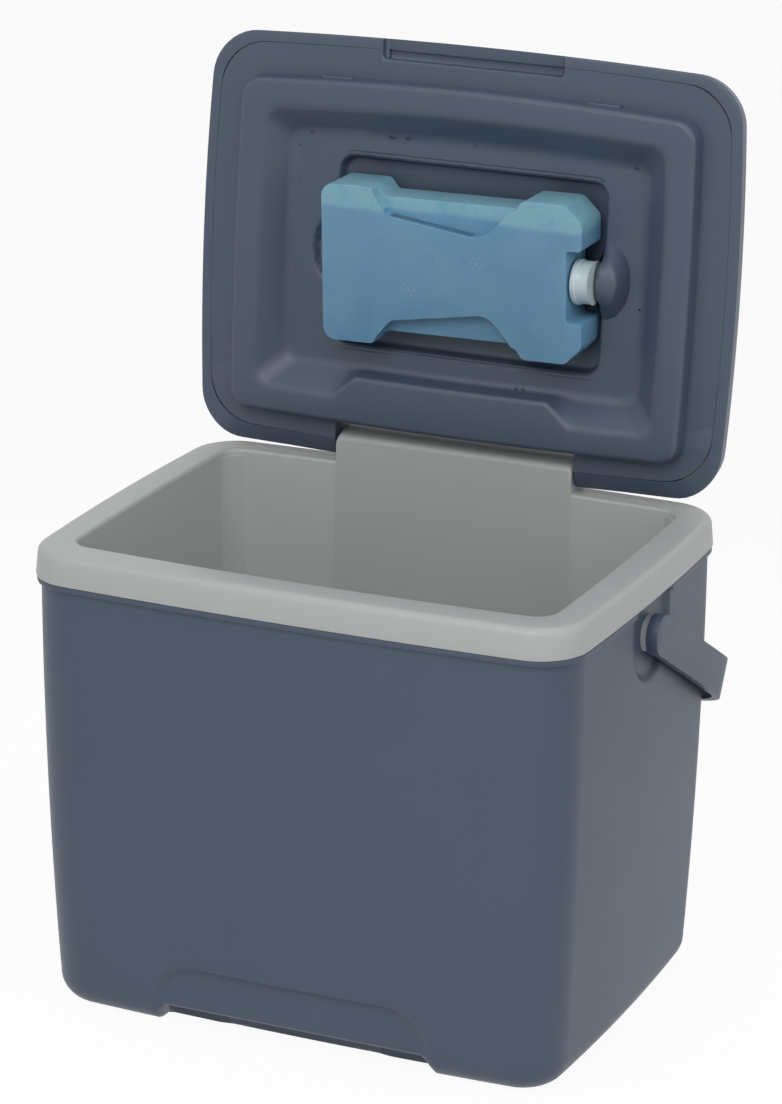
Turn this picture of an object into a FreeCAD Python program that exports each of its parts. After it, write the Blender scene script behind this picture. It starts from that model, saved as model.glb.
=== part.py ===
import FreeCAD, Part
import math
import os
import Sketcher

# A hard cooler with a hinged lid, in millimetres. X is to the right, Y to the back, Z up.
# The origin is the middle of the underside. The lid is drawn closed and placed open.

SIZES = {
    # Rim of the liner, measured at the lower edge of its skirt
    "rim_width": 360.0,
    "rim_depth": 269.8,
    "rim_corner": 27.2,
    "rim_top": 296.6,
    "rim_skirt": 18.9,
    "rim_draft": 1.4,
    "rim_round": 4.6,
    "rim_wall": 2.4,
    "side_bow": 4.5,
    "front_bow": 5.2,
    # Outer shell
    "foot_setback_side": 9.15,
    "foot_setback_front": 7.25,
    "foot_corner": 25.7,
    "shell_setback": 2.5,
    "shell_wall": 3.2,
    "wall_bulge": 1.75,
    "bottom_round": 17.8,
    "bead_height": 3.9,
    "bead_setback": 0.4,
    "upstand_height": 10.0,
    "upstand_wall": 1.9,
    "arch_half": 90.0,
    "arch_top": 43.0,
    "arch_corner": 28.0,
    "arch_depth": 3.4,
    "notch_half": 84.0,
    "notch_height": 14.0,
    "notch_slope": 9.0,
    "notch_reach": 24.0,
    # Storage space
    "rim_land_side": 23.5,
    "rim_land_front": 22.9,
    "opening_corner": 12.3,
    "opening_side_bow": 2.0,
    "opening_shift": 1.0,
    "opening_round": 2.0,
    "tub_floor": 32.0,
    "tub_draft": 6.5,
    "tub_round": 12.0,
    "liner_wall": 2.5,
    # Hinge block on the rim, and the hinge
    "block_half": 80.5,
    "block_height": 17.3,
    "block_round": 4.2,
    "block_back": 1.0,
    "hinge_setback": 10.6,
    "hinge_height": 12.0,
    "pin_radius": 2.5,
    "pin_length": 32.0,
    "pin_in_block": 18.0,
    "pin_clearance": 0.1,
    "open_angle": 95.25,
    # Lid
    "lid_overhang": 0.45,
    "lid_setback": 0.15,
    "lid_corner": 28.2,
    "lid_side_bow": 5.2,
    "lid_front_bow": 4.8,
    "lid_gap": 0.5,
    "lid_edge": 18.0,
    "lid_crown": 22.0,
    "lid_draft": 2.5,
    "lid_wall": 2.5,
    "lid_top_round": 5.5,
    "lid_low_round": 1.6,
    "lid_lip": 7.0,
    "ear_round": 11.5,
    "ear_gap": 1.2,
    "notch_front": 2.0,
    "grip_half": 60.5,
    "grip_front": 13.7,
    "grip_deep": 8.0,
    "panel_wall": 2.4,
    "panel_hinge_gap": 0.3,
    # Plug, dish and pocket under the lid, heights measured from the rim top, down positive
    "plug_gap": 2.0,
    "plug_deep": 11.0,
    "plug_slope": 1.6,
    "plug_round": 3.5,
    "crest_width": 16.5,
    "dish_slope": 16.0,
    "dish_floor": 4.0,
    "plateau_half": 65.0,
    "plateau_slope": 15.0,
    "plateau_reach": 14.0,
    "pocket_width": 180.0,
    "pocket_height": 119.5,
    "pocket_corner": 9.5,
    "pocket_floor": 13.2,
    "pocket_side": 2.3,
    "pocket_front": 1.4,
    "scoop_radius": 30.0,
    "scoop_side": 77.0,
    "scoop_floor": 8.0,
    "stop_radius": 24.0,
    "stop_gap": 1.2,
    "stop_side": 16.0,
    "stop_height": 18.0,
    "stop_round": 2.0,
    "detent_side": 89.0,
    "detent_width": 21.0,
    "detent_size": 1.0,
    "detent_tall": 4.0,
    # Handle
    "pivot_back": 2.0,
    "pivot_drop": 41.3,
    "handle_angle": 29.9,
    "hub_thick": 7.2,
    "handle_depth": 5.2,
    "handle_wall": 2.2,
    "hub_gap": 3.9,
    "handle_width": 25.0,
    "handle_behind": 27.5,
    "handle_corner": 42.0,
    "handle_edge": 1.0,
    "recess_radius": 26.0,
    "recess_flare": 3.0,
    "recess_setback": 5.7,
    "stud_radius": 6.0,
    "stud_head": 10.0,
    "stud_head_thick": 3.0,
    "stud_grip": 4.6,
    "bush_wall": 2.4,
    "bush_flange": 11.0,
    "bush_clearance": 0.1,
    # Foam
    "foam_gap": 0.4,
    "foam_inset": 7.2,
    "foam_floor": 17.6,
    "foam_drop": 24.6,
    # Ice brick, held in the pocket
    "brick_length": 174.0,
    "brick_height": 100.0,
    "brick_thick": 32.0,
    "brick_wall": 1.8,
    "brick_corner": 8.0,
    "brick_chamfer": 12.0,
    "brick_side": 2.0,
    "brick_lower": 0.8,
    "brick_setback": 24.3,
    "brick_roll": 1.1,
    "end_left": 34.0,
    "end_right": 39.0,
    "end_slope": 5.0,
    "waist_inset": 7.0,
    "strip_deep": 9.0,
    "strip_left": 17.0,
    "strip_right": 26.0,
    "strip_start": 43.0,
    "strip_end": 16.0,
    "strip_rise": 29.0,
    "cap_radius": 14.1,
    "cap_length": 11.2,
    "cap_out": 2.6,
    "cap_notch": 22.6,
    "cap_notch_deep": 10.2,
    "neck_radius": 10.5,
    "seal_thick": 1.2,
    "gel_gap": 14.0,
    "gel_clearance": 0.2,
}

doc = FreeCAD.newDocument("Cooler")
sheet = doc.addObject("Spreadsheet::Sheet", "Sizes")
for row, (alias, number) in enumerate(SIZES.items(), 1):
    sheet.set("A%d" % row, alias)
    sheet.set("B%d" % row, str(number))
    sheet.setAlias("B%d" % row, alias)
doc.recompute()

X_AXIS = FreeCAD.Vector(1, 0, 0)
Y_AXIS = FreeCAD.Vector(0, 1, 0)
Z_AXIS = FreeCAD.Vector(0, 0, 1)
PAST = 60.0  # how far a cutting tool runs on past what it cuts


class Size:
    """A length with the sheet formula that gives it."""

    def __init__(self, value, text):
        self.value = value
        self.text = text

    def __add__(self, other):
        other = size_of(other)
        return Size(self.value + other.value, "(%s + %s)" % (self.text, other.text))

    def __sub__(self, other):
        other = size_of(other)
        return Size(self.value - other.value, "(%s - %s)" % (self.text, other.text))

    def __mul__(self, other):
        other = size_of(other)
        return Size(self.value * other.value, "(%s * %s)" % (self.text, other.text))

    def __truediv__(self, other):
        other = size_of(other)
        return Size(self.value / other.value, "(%s / %s)" % (self.text, other.text))

    def __radd__(self, other):
        return size_of(other) + self

    def __rsub__(self, other):
        return size_of(other) - self

    def __rmul__(self, other):
        return size_of(other) * self

    def __neg__(self):
        return size_of(0) - self

    def sin(self):
        return Size(math.sin(math.radians(self.value)), "sin(%s)" % self.text)

    def cos(self):
        return Size(math.cos(math.radians(self.value)), "cos(%s)" % self.text)


def size_of(number):
    if isinstance(number, Size):
        return number
    return Size(float(number), "(%r)" % float(number))


class Cells:
    """The cells of the sheet by their aliases."""

    def __getattr__(self, alias):
        return Size(float(sheet.get(alias)), "Sizes." + alias)


c = Cells()


def bind(item, prop, size):
    item.setExpression(prop, size_of(size).text)


def new_body(name):
    body = doc.addObject("PartDesign::Body", name)
    body.Label = name
    return body


def new_sketch(body, name, role="XY_Plane", along=0, shift=0):
    """A sketch on one of the body's own planes, moved along its normal and its own Y."""
    sketch = body.newObject("Sketcher::SketchObject", name)
    plane = [item for item in body.Origin.OriginFeatures if item.Role == role][0]
    sketch.AttachmentSupport = (plane, [""])
    sketch.MapMode = "FlatFace"
    bind(sketch, "AttachmentOffset.Base.z", along)
    bind(sketch, "AttachmentOffset.Base.y", shift)
    return sketch


def limit(sketch, kind, places, size):
    """One dimension of a sketch, drawn at its value and bound to its formula."""
    size = size_of(size)
    index = sketch.addConstraint(Sketcher.Constraint(kind, *places, size.value))
    sketch.setExpression("Constraints[%d]" % index, size.text)


def polygon(body, name, points, role="XY_Plane", along=0, shift=0):
    """A closed outline of straight lines through points given by their two distances."""
    sketch = new_sketch(body, name, role, along, shift)
    points = [(size_of(across), size_of(up)) for across, up in points]
    corners = [FreeCAD.Vector(across.value, up.value, 0) for across, up in points]
    count = len(corners)
    for index, corner in enumerate(corners):
        sketch.addGeometry(Part.LineSegment(corner, corners[(index + 1) % count]), False)
    for index in range(count):
        sketch.addConstraint(Sketcher.Constraint("Coincident", index, 2, (index + 1) % count, 1))
    for index, (across, up) in enumerate(points):
        limit(sketch, "DistanceX", (-1, 1, index, 1), across)
        limit(sketch, "DistanceY", (-1, 1, index, 1), up)
    return sketch


def circle(body, name, radius, role="XY_Plane", along=0, across=0, up=0):
    sketch = new_sketch(body, name, role, along)
    across, up, radius = size_of(across), size_of(up), size_of(radius)
    middle = FreeCAD.Vector(across.value, up.value, 0)
    sketch.addGeometry(Part.Circle(middle, Z_AXIS, radius.value), False)
    limit(sketch, "DistanceX", (-1, 1, 0, 3), across)
    limit(sketch, "DistanceY", (-1, 1, 0, 3), up)
    limit(sketch, "Radius", (0,), radius)
    return sketch


def arc_radius(half_chord, bow):
    return (half_chord * half_chord + bow * bow) / (2 * bow)


def bowed(body, name, width, depth, corner, ends_bow, front_bow, level, shift=0):
    """A rounded rectangle whose four sides bow outwards, as eight tangent arcs."""
    sketch = new_sketch(body, name, "XY_Plane", level, shift)
    width, depth, corner = size_of(width), size_of(depth), size_of(corner)
    side = arc_radius(depth / 2, size_of(ends_bow))
    front = arc_radius(width / 2, size_of(front_bow))
    side_back = side - width / 2
    front_back = front - depth / 2
    # The corner's centre is a given distance from the centres of both side arcs
    base = math.hypot(side_back.value, front_back.value)
    near, far = side.value - corner.value, front.value - corner.value
    along = (base ** 2 + near ** 2 - far ** 2) / (2 * base)
    rise = math.sqrt(near ** 2 - along ** 2)
    ux, uy = side_back.value / base, -front_back.value / base
    corner_x = -side_back.value + along * ux - rise * uy
    corner_y = along * uy + rise * ux
    side_angle = math.atan2(corner_y, corner_x + side_back.value)
    front_angle = math.atan2(corner_y + front_back.value, corner_x)

    def arc(centre_x, centre_y, radius, start, end):
        ring = Part.Circle(FreeCAD.Vector(centre_x, centre_y, 0), Z_AXIS, radius)
        sketch.addGeometry(Part.ArcOfCircle(ring, start, end), False)

    half = math.pi / 2
    for turn in range(4):
        sign_x, sign_y = ((1, 0), (0, 1), (-1, 0), (0, -1))[turn]
        if sign_x:
            arc(-sign_x * side_back.value, 0, side.value,
                turn * half - side_angle, turn * half + side_angle)
        else:
            arc(0, -sign_y * front_back.value, front.value,
                turn * half - (half - front_angle), turn * half + (half - front_angle))
        corner_sx, corner_sy = ((1, 1), (-1, 1), (-1, -1), (1, -1))[turn]
        first, last = (side_angle, front_angle) if turn % 2 == 0 else (half - front_angle, half - side_angle)
        arc(corner_sx * corner_x, corner_sy * corner_y, corner.value,
            turn * half + first, turn * half + last)
    for index in range(8):
        sketch.addConstraint(Sketcher.Constraint("Tangent", index, 2, (index + 1) % 8, 1))
    for index, axis in ((0, -1), (2, -2), (4, -1), (6, -2)):
        sketch.addConstraint(Sketcher.Constraint("PointOnObject", index, 3, axis))
    limit(sketch, "DistanceX", (0, 3, -1, 1), side_back)
    limit(sketch, "DistanceY", (2, 3, -1, 1), front_back)
    limit(sketch, "DistanceX", (-1, 1, 4, 3), side_back)
    limit(sketch, "DistanceY", (-1, 1, 6, 3), front_back)
    for index, radius in ((0, side), (2, front), (4, side), (6, front), (1, corner)):
        limit(sketch, "Radius", (index,), radius)
    for index in (3, 5, 7):
        sketch.addConstraint(Sketcher.Constraint("Equal", 1, index))
    return sketch


def loft(body, name, sketches, cut=False, ruled=False):
    kind = "PartDesign::SubtractiveLoft" if cut else "PartDesign::AdditiveLoft"
    feature = body.newObject(kind, name)
    feature.Profile = sketches[0]
    feature.Sections = sketches[1:]
    feature.Ruled = ruled
    return feature


QUARTER = ((0.0, 0.0), (0.076, 0.383), (0.293, 0.707), (0.617, 0.924), (1.0, 1.0))


def stack(body, name, outline, levels, cut=False):
    """Straight walls through a pile of outlines, each given by its inset and its level."""
    sketches = []
    for index, (inset, level) in enumerate(levels):
        sketches.append(outline(body, "%s_%d" % (name, index), size_of(inset), size_of(level)))
    return loft(body, name, sketches, cut, ruled=True)


def rounding(inset, level, radius, up=True):
    """Insets and levels of a quarter round that ends at the given level, going up or down."""
    way = 1 if up else -1
    start = level - radius * way
    return [(inset + radius * share, start + radius * rise * way) for share, rise in QUARTER]


def pad(body, name, sketch, length, reverse=False, middle=False, cut=False):
    kind = "PartDesign::Pocket" if cut else "PartDesign::Pad"
    feature = body.newObject(kind, name)
    feature.Profile = sketch
    feature.Reversed = reverse
    feature.Midplane = middle
    bind(feature, "Length", length)
    return feature


def fillet(body, name, feature, radius, wanted):
    """Rounds the edges of a feature whose middle point passes the given test."""
    doc.recompute()
    names = []
    for index, edge in enumerate(feature.Shape.Edges, 1):
        middle = edge.valueAt((edge.FirstParameter + edge.LastParameter) / 2)
        if wanted(middle, edge):
            names.append("Edge%d" % index)
    if not names:
        raise RuntimeError("no edges for " + name)
    rounding = body.newObject("PartDesign::Fillet", name)
    rounding.Base = (feature, names)
    bind(rounding, "Radius", radius)
    return rounding


def box(name, low, high):
    """A box between two corners."""
    item = doc.addObject("Part::Box", name)
    for axis, prop, first, last in zip("xyz", ("Length", "Width", "Height"), low, high):
        bind(item, prop, size_of(last) - first)
        bind(item, "Placement.Base." + axis, first)
    return item


def bar(name, radius, start, length, back, level):
    """A round bar along X, from start towards +X."""
    item = doc.addObject("Part::Cylinder", name)
    item.Placement = FreeCAD.Placement(FreeCAD.Vector(), FreeCAD.Rotation(Y_AXIS, 90))
    bind(item, "Radius", radius)
    bind(item, "Height", length)
    bind(item, "Placement.Base.x", start)
    bind(item, "Placement.Base.y", back)
    bind(item, "Placement.Base.z", level)
    return item


def fuse(name, items):
    item = doc.addObject("Part::MultiFuse", name)
    item.Shapes = items
    return item


def cut(name, base, tools):
    item = doc.addObject("Part::Cut", name)
    item.Base = base
    item.Tool = tools[0] if len(tools) == 1 else fuse(name + "_tools", tools)
    item.Label = name
    return item


def common(name, base, tool):
    item = doc.addObject("Part::Common", name)
    item.Base = base
    item.Tool = tool
    item.Label = name
    return item


PIECES = []


def piece(item):
    PIECES.append(item)
    return item


# Sizes that follow from the rim, so that the pieces stay together when it changes
foot_width = c.rim_width - 2 * c.foot_setback_side
foot_depth = c.rim_depth - 2 * c.foot_setback_front
opening_width = c.rim_width - 2 * c.rim_land_side
opening_depth = c.rim_depth - 2 * c.rim_land_front
lid_width = c.rim_width + 2 * c.lid_overhang
lid_depth = c.rim_depth - 2 * c.lid_setback
hinge_back = c.rim_depth / 2 - c.hinge_setback
panel_back = hinge_back - c.panel_hinge_gap
pivot_height = c.rim_top - c.pivot_drop
recess_floor = c.rim_width / 2 - c.recess_setback
hub_face = recess_floor + c.hub_gap
handle_face = hub_face + c.hub_thick
handle_reach = c.rim_depth / 2 + c.handle_behind
foam_top = c.rim_top - c.foam_drop
brick_centre = c.rim_top + c.hinge_height + hinge_back - c.brick_lower
brick_front = hinge_back - c.brick_setback

# Heights and outlines that several pieces share
skirt_low = c.rim_top - c.rim_skirt
shell_width = c.rim_width - 2 * c.shell_setback
shell_depth = c.rim_depth - 2 * c.shell_setback
shell_corner = c.rim_corner - c.shell_setback
axis_level = c.rim_top + c.hinge_height
arch_face = foot_depth / 2 - c.arch_depth
notch_in = foot_depth / 2 - c.notch_reach


def shell_outline(body, name, inset, level, share=0):
    """The shell's outline at a share of the wall's height, set in by inset."""
    bulge = c.wall_bulge * (8 * share * (1 - share))
    width = foot_width + (shell_width - foot_width) * share + bulge
    depth = foot_depth + (shell_depth - foot_depth) * share + bulge
    corner = c.foot_corner + (shell_corner - c.foot_corner) * share
    return bowed(body, name, width - 2 * inset, depth - 2 * inset, corner - inset,
                 c.side_bow, c.front_bow, level)


def shell_stack(body, name, inset, low):
    """The shell's wall with its round bottom edge, set in by inset, from level low to the skirt."""
    radius = c.bottom_round - inset
    sketches = []
    for index, (more, level) in enumerate(reversed(rounding(inset, low, radius, up=False))):
        sketches.append(shell_outline(body, "%s_round_%d" % (name, index), more, level))
    start = low + radius
    for index in range(1, 5):
        share = index / 4
        level = start + (skirt_low - start) * share
        sketches.append(shell_outline(body, "%s_wall_%d" % (name, index), inset, level, share))
    return loft(body, name, sketches, ruled=True)


def recess_tool(name, side):
    """The tapered U in the side wall round a handle pivot."""
    body = new_body(name)
    sketches = []
    for index in range(2):
        radius = c.recess_radius + c.recess_flare * index
        along = (recess_floor + (c.recess_flare + 1) * index) * side
        sketch = new_sketch(body, "%s_u%d" % (name, index), "YZ_Plane", along)
        top = (skirt_low - c.bead_height).value
        back, level, reach = c.pivot_back, pivot_height, radius.value
        low, high = back.value - reach, back.value + reach
        vector = FreeCAD.Vector
        sketch.addGeometry(Part.LineSegment(vector(high, top, 0), vector(low, top, 0)), False)
        sketch.addGeometry(Part.LineSegment(vector(low, top, 0), vector(low, level.value, 0)), False)
        ring = Part.Circle(vector(back.value, level.value, 0), Z_AXIS, reach)
        sketch.addGeometry(Part.ArcOfCircle(ring, math.pi, 2 * math.pi), False)
        sketch.addGeometry(Part.LineSegment(vector(high, level.value, 0), vector(high, top, 0)), False)
        sketch.addConstraint(Sketcher.Constraint("Coincident", 0, 2, 1, 1))
        sketch.addConstraint(Sketcher.Constraint("Tangent", 1, 2, 2, 1))
        sketch.addConstraint(Sketcher.Constraint("Tangent", 2, 2, 3, 1))
        sketch.addConstraint(Sketcher.Constraint("Coincident", 3, 2, 0, 1))
        sketch.addConstraint(Sketcher.Constraint("Horizontal", 0))
        sketch.addConstraint(Sketcher.Constraint("Vertical", 1))
        sketch.addConstraint(Sketcher.Constraint("Vertical", 3))
        limit(sketch, "Radius", (2,), radius)
        limit(sketch, "DistanceX", (-1, 1, 2, 3), back)
        limit(sketch, "DistanceY", (-1, 1, 2, 3), level)
        limit(sketch, "DistanceY", (-1, 1, 0, 1), skirt_low - c.bead_height)
        sketches.append(sketch)
    loft(body, name + "_loft", sketches, ruled=True)
    return body


def arch_tool(name, side):
    """The low arch in the front or back wall, with rounded upper corners."""
    body = new_body(name)
    half, top = c.arch_half, c.arch_top
    points = [(-half, -PAST), (half, -PAST), (half, top), (-half, top)]
    sketch = polygon(body, name + "_outline", points, "XZ_Plane", arch_face * -side)
    block = pad(body, name + "_pad", sketch, PAST, reverse=side > 0)
    fillet(body, name + "_corners", block, c.arch_corner,
           lambda at, edge: abs(at.z - top.value) < 0.01 and abs(abs(at.x) - half.value) < 0.01)
    return body


def notch_tool(name, side):
    """The finger notch under the arch, between the two feet."""
    body = new_body(name)
    half, high, slope = c.notch_half, c.notch_height, c.notch_slope
    points = [(-(half + slope), 0), (-(half + slope), -PAST), (half + slope, -PAST),
              (half + slope, 0), (half, high), (-half, high)]
    sketch = polygon(body, name + "_outline", points, "XZ_Plane", notch_in * -side)
    pad(body, name + "_pad", sketch, PAST, reverse=side > 0)
    return body


def outer_shell():
    form = new_body("shell_form")
    shell_stack(form, "shell_outer", size_of(0), size_of(0))
    bead = bowed(form, "bead_outline", c.rim_width - 2 * c.bead_setback, c.rim_depth - 2 * c.bead_setback,
                 c.rim_corner - c.bead_setback, c.side_bow, c.front_bow, skirt_low)
    pad(form, "bead", bead, c.bead_height, reverse=True)
    inner = shell_width - 2 * c.shell_wall
    up_width = inner + 2 * c.upstand_wall
    up_depth = shell_depth - 2 * c.shell_wall + 2 * c.upstand_wall
    upstand = bowed(form, "upstand_outline", up_width, up_depth,
                    shell_corner - c.shell_wall + c.upstand_wall, c.side_bow, c.front_bow, skirt_low)
    pad(form, "upstand", upstand, c.upstand_height)

    core = new_body("shell_core_form")
    shell_stack(core, "shell_hollow", c.shell_wall, c.shell_wall)
    top = bowed(core, "shell_mouth", inner, shell_depth - 2 * c.shell_wall,
                shell_corner - c.shell_wall, c.side_bow, c.front_bow, skirt_low)
    pad(core, "shell_mouth_pad", top, PAST)
    kept = []
    far = c.rim_width
    for name, side in (("front", -1), ("back", 1)):
        near_arch = (arch_face - c.shell_wall) * side
        near_notch = (notch_in - c.shell_wall) * side
        out = far * side
        arch_low, arch_high = (near_arch, out) if side > 0 else (out, near_arch)
        notch_low, notch_high = (near_notch, out) if side > 0 else (out, near_notch)
        wide = c.arch_half + c.shell_wall
        kept.append(box(name + "_arch_backing", (-wide, arch_low, 0),
                        (wide, arch_high, c.arch_top + c.shell_wall)))
        wide = c.notch_half + c.notch_slope + c.shell_wall
        kept.append(box(name + "_notch_backing", (-wide, notch_low, 0),
                        (wide, notch_high, c.notch_height + c.shell_wall)))
    wide = c.recess_radius + c.recess_flare + c.shell_wall
    near = recess_floor - c.shell_wall
    for name, first, last in (("left", -far, -near), ("right", near, far)):
        kept.append(box(name + "_recess_backing", (first, c.pivot_back - wide, pivot_height - wide),
                        (last, c.pivot_back + wide, skirt_low)))
    core = cut("shell_core", core, kept)
    tools = [core]
    for name, side in (("front", -1), ("back", 1)):
        tools.append(arch_tool(name + "_arch", side))
        tools.append(notch_tool(name + "_notch", side))
    for name, side in (("left", -1), ("right", 1)):
        tools.append(recess_tool(name + "_recess", side))
        hole = c.stud_radius + c.bush_clearance + c.bush_wall
        start = recess_floor - c.shell_wall - 5 if side > 0 else -(recess_floor + 5)
        tools.append(bar(name + "_bush_hole", hole, start, c.shell_wall + 10, c.pivot_back, pivot_height))
    return piece(cut("outer_shell", form, tools))


def opening_outline(body, name, inset, draft, level):
    """The storage opening's outline, set in by inset plus the wall's draft."""
    total = inset + draft
    return bowed(body, name, opening_width - 2 * total, opening_depth - 2 * total,
                 c.opening_corner - inset, c.opening_side_bow, c.front_bow, level, c.opening_shift)


def rim_outline(body, name, inset, level):
    return bowed(body, name, c.rim_width - 2 * inset, c.rim_depth - 2 * inset, c.rim_corner - inset,
                 c.side_bow, c.front_bow, level)


def opening_stack(body, name, places, cut=False):
    """Walls through outlines of the storage space, with its draft, by their insets and levels."""
    slope = c.tub_draft / (c.rim_top - c.tub_floor)
    sketches = []
    for index, (inset, level) in enumerate(places):
        draft = slope * (c.rim_top - level)
        sketches.append(opening_outline(body, "%s_%d" % (name, index), inset, draft, level))
    return loft(body, name, sketches, cut, ruled=True)


def tub_places(grow, low, top, radius):
    """From level top down to level low with a round bottom edge, grown by grow."""
    return [(-grow, top)] + rounding(-grow, low, radius, up=False)


def inner_liner():
    body = new_body("inner_liner")
    draft = c.rim_draft
    stack(body, "rim", rim_outline, [(0, skirt_low)] + rounding(draft, c.rim_top, c.rim_round))
    inset = c.rim_wall
    inside_top = c.rim_top - c.rim_wall
    stack(body, "rim_under", rim_outline,
          [(inset, skirt_low - 1), (inset + draft, inside_top - 2), (inset + draft + 2, inside_top)], cut=True)
    tub_low = c.tub_floor - c.liner_wall
    opening_stack(body, "tub_outer", tub_places(c.liner_wall, tub_low, c.rim_top - 1, c.tub_round))
    opening_stack(body, "space", tub_places(size_of(0), c.tub_floor, c.rim_top + 1, c.tub_round), cut=True)
    edge = c.opening_round
    edge_low = c.rim_top - edge
    places = [(-(edge * share), edge_low + edge * rise) for share, rise in QUARTER]
    opening_stack(body, "space_edge", places + [(-edge, c.rim_top + 1)], cut=True)
    half = c.block_half
    back = c.rim_depth / 2 - c.rim_draft - c.block_back
    front = opening_depth / 2 + c.opening_shift - c.liner_wall - c.front_bow
    points = [(-half, front), (half, front), (half, back), (-half, back)]
    base = polygon(body, "block_outline", points, along=edge_low)
    pad(body, "block", base, c.block_height + edge)
    block_top = c.rim_top + c.block_height
    places = [(size_of(0), edge_low), (size_of(0), block_top + 4)]
    cut_front = opening_stack(body, "block_front", places, cut=True)
    fillet(body, "block_edge", cut_front, c.block_round,
           lambda at, edge: abs(at.z - block_top.value) < 0.01)
    pins = []
    for name, side in (("left", -1), ("right", 1)):
        depth = c.pin_in_block
        start = half - depth if side > 0 else -half - 5
        pins.append(bar(name + "_pin_seat", c.pin_radius, start, depth + 5, hinge_back, axis_level))
    body.Label = "liner_form"
    return piece(cut("inner_liner", body, pins))


def hinge_pins():
    for name, side in (("left", -1), ("right", 1)):
        start = c.block_half - c.pin_in_block if side > 0 else -(c.block_half - c.pin_in_block + c.pin_length)
        pin = bar("hinge_pin_" + name, c.pin_radius, start, c.pin_length, hinge_back, axis_level)
        pin.Label = "hinge_pin_" + name
        piece(pin)


def foam_panels():
    """Boards between the shell and the liner: four walls mitred at the corners, and the base."""
    inset = c.foam_inset
    outer = new_body("foam_outer")
    loft(outer, "foam_outer_loft", [
        bowed(outer, "foam_outer_low", foot_width - 2 * inset, foot_depth - 2 * inset,
              c.foot_corner - inset, c.side_bow, c.front_bow, c.foam_floor),
        bowed(outer, "foam_outer_top", shell_width - 2 * inset, shell_depth - 2 * inset,
              shell_corner - inset, c.side_bow, c.front_bow, foam_top)], ruled=True)
    inner = new_body("foam_inner")
    gap = -(c.liner_wall + c.foam_gap)
    low = c.tub_floor - c.liner_wall - c.foam_gap
    loft(inner, "foam_inner_loft", [
        opening_outline(inner, "foam_inner_top", gap, size_of(0), c.rim_top),
        opening_outline(inner, "foam_inner_low", gap, c.tub_draft, low)], ruled=True)
    heads = []
    for name, side in (("left", -1), ("right", 1)):
        radius = c.stud_head + c.foam_gap
        start = size_of(0) if side > 0 else -c.rim_width
        heads.append(bar(name + "_head_room", radius, start, c.rim_width, c.pivot_back, pivot_height))
    ring = cut("foam_ring", outer, [inner] + heads)
    half_x, half_y = c.rim_width / 2, c.rim_depth / 2
    keep_x, keep_y = half_x - half_y, size_of(1)
    gap = c.foam_gap / 2
    wedges = {
        "foam_front": [(-half_x, -half_y), (half_x, -half_y), (keep_x, -gap), (-keep_x, -gap)],
        "foam_back": [(half_x, half_y), (-half_x, half_y), (-keep_x, gap), (keep_x, gap)],
        "foam_left": [(-half_x - gap, half_y), (-half_x - gap, -half_y), (-keep_x - gap, 0)],
        "foam_right": [(half_x + gap, -half_y), (half_x + gap, half_y), (keep_x + gap, 0)],
    }
    for name, points in wedges.items():
        wedge = new_body(name + "_wedge")
        sketch = polygon(wedge, name + "_plan", points, along=low)
        pad(wedge, name + "_pad", sketch, foam_top)
        piece(common(name, ring, wedge))
    base = new_body("foam_base")
    inset = c.foam_inset + 3
    plan = bowed(base, "foam_base_plan", foot_width - 2 * inset, foot_depth - 2 * inset,
                 c.foot_corner - inset, c.side_bow, c.front_bow, c.foam_floor)
    pad(base, "foam_base_pad", plan, low - c.foam_floor - c.foam_gap / 2)
    piece(base)


def lid_outline(body, name, inset, level):
    """The lid's outline. Near the middle of its top the corners stay small."""
    corner = c.lid_corner - inset
    if corner.value < 3:
        corner = size_of(3)
    return bowed(body, name, lid_width - 2 * inset, lid_depth - 2 * inset, corner,
                 c.lid_side_bow, c.lid_front_bow, c.rim_top + level)


def lid_stack(body, name, wall, low, low_round, top_round):
    """The closed lid's form from level low to its crowned top, set in by wall."""
    slope = c.lid_draft / c.lid_edge
    places = []
    if low_round is not None:
        places = [(wall + low_round, low), (wall + low_round * 0.3, low + low_round * 0.3)]
        low = low + low_round
    edge = c.lid_edge - wall
    places.append((wall + slope * low, low))
    places += rounding(wall + c.lid_draft, edge, top_round)
    rise = c.lid_crown - c.lid_edge
    inner = wall + c.lid_draft + top_round
    for share, height in ((0.25, 0.44), (0.55, 0.8), (1.0, 1.0)):
        places.append((inner + (lid_depth * 0.42 - inner) * share, edge + rise * height))
    return stack(body, name, lid_outline, places)


lid_low = c.lid_gap
seat_top = c.lid_gap + c.panel_wall
notch_line = opening_depth / 2 + c.opening_shift - c.notch_front
ear_face = c.block_half + c.ear_gap
grip_line = lid_depth / 2 - c.grip_front


def open_lid(item):
    """Turns a closed lid piece about the hinge to the open angle."""
    turn = c.open_angle
    item.Placement = FreeCAD.Placement(FreeCAD.Vector(), FreeCAD.Rotation(X_AXIS, -turn.value))
    bind(item, "Placement.Rotation.Angle", -turn)
    bind(item, "Placement.Base.y", hinge_back - (hinge_back * turn.cos() + axis_level * turn.sin()))
    bind(item, "Placement.Base.z", axis_level - (axis_level * turn.cos() - hinge_back * turn.sin()))
    return item


def ear_round_tool(name):
    """What the lid's back lower edge loses so that it turns clear of the rim."""
    block = box(name + "_block", (-lid_width, hinge_back, c.rim_top - PAST),
                (lid_width, lid_depth, axis_level))
    keep = bar(name + "_keep", c.ear_round, -lid_width, lid_width * 2, hinge_back, axis_level)
    return cut(name, block, [keep])


def hinge_notch(name, grow):
    """The space in the lid's back edge for the hinge block, less grow all round."""
    half = ear_face + grow
    return box(name, (-half, notch_line - grow, c.rim_top - PAST), (half, lid_depth, c.rim_top + PAST))


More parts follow.
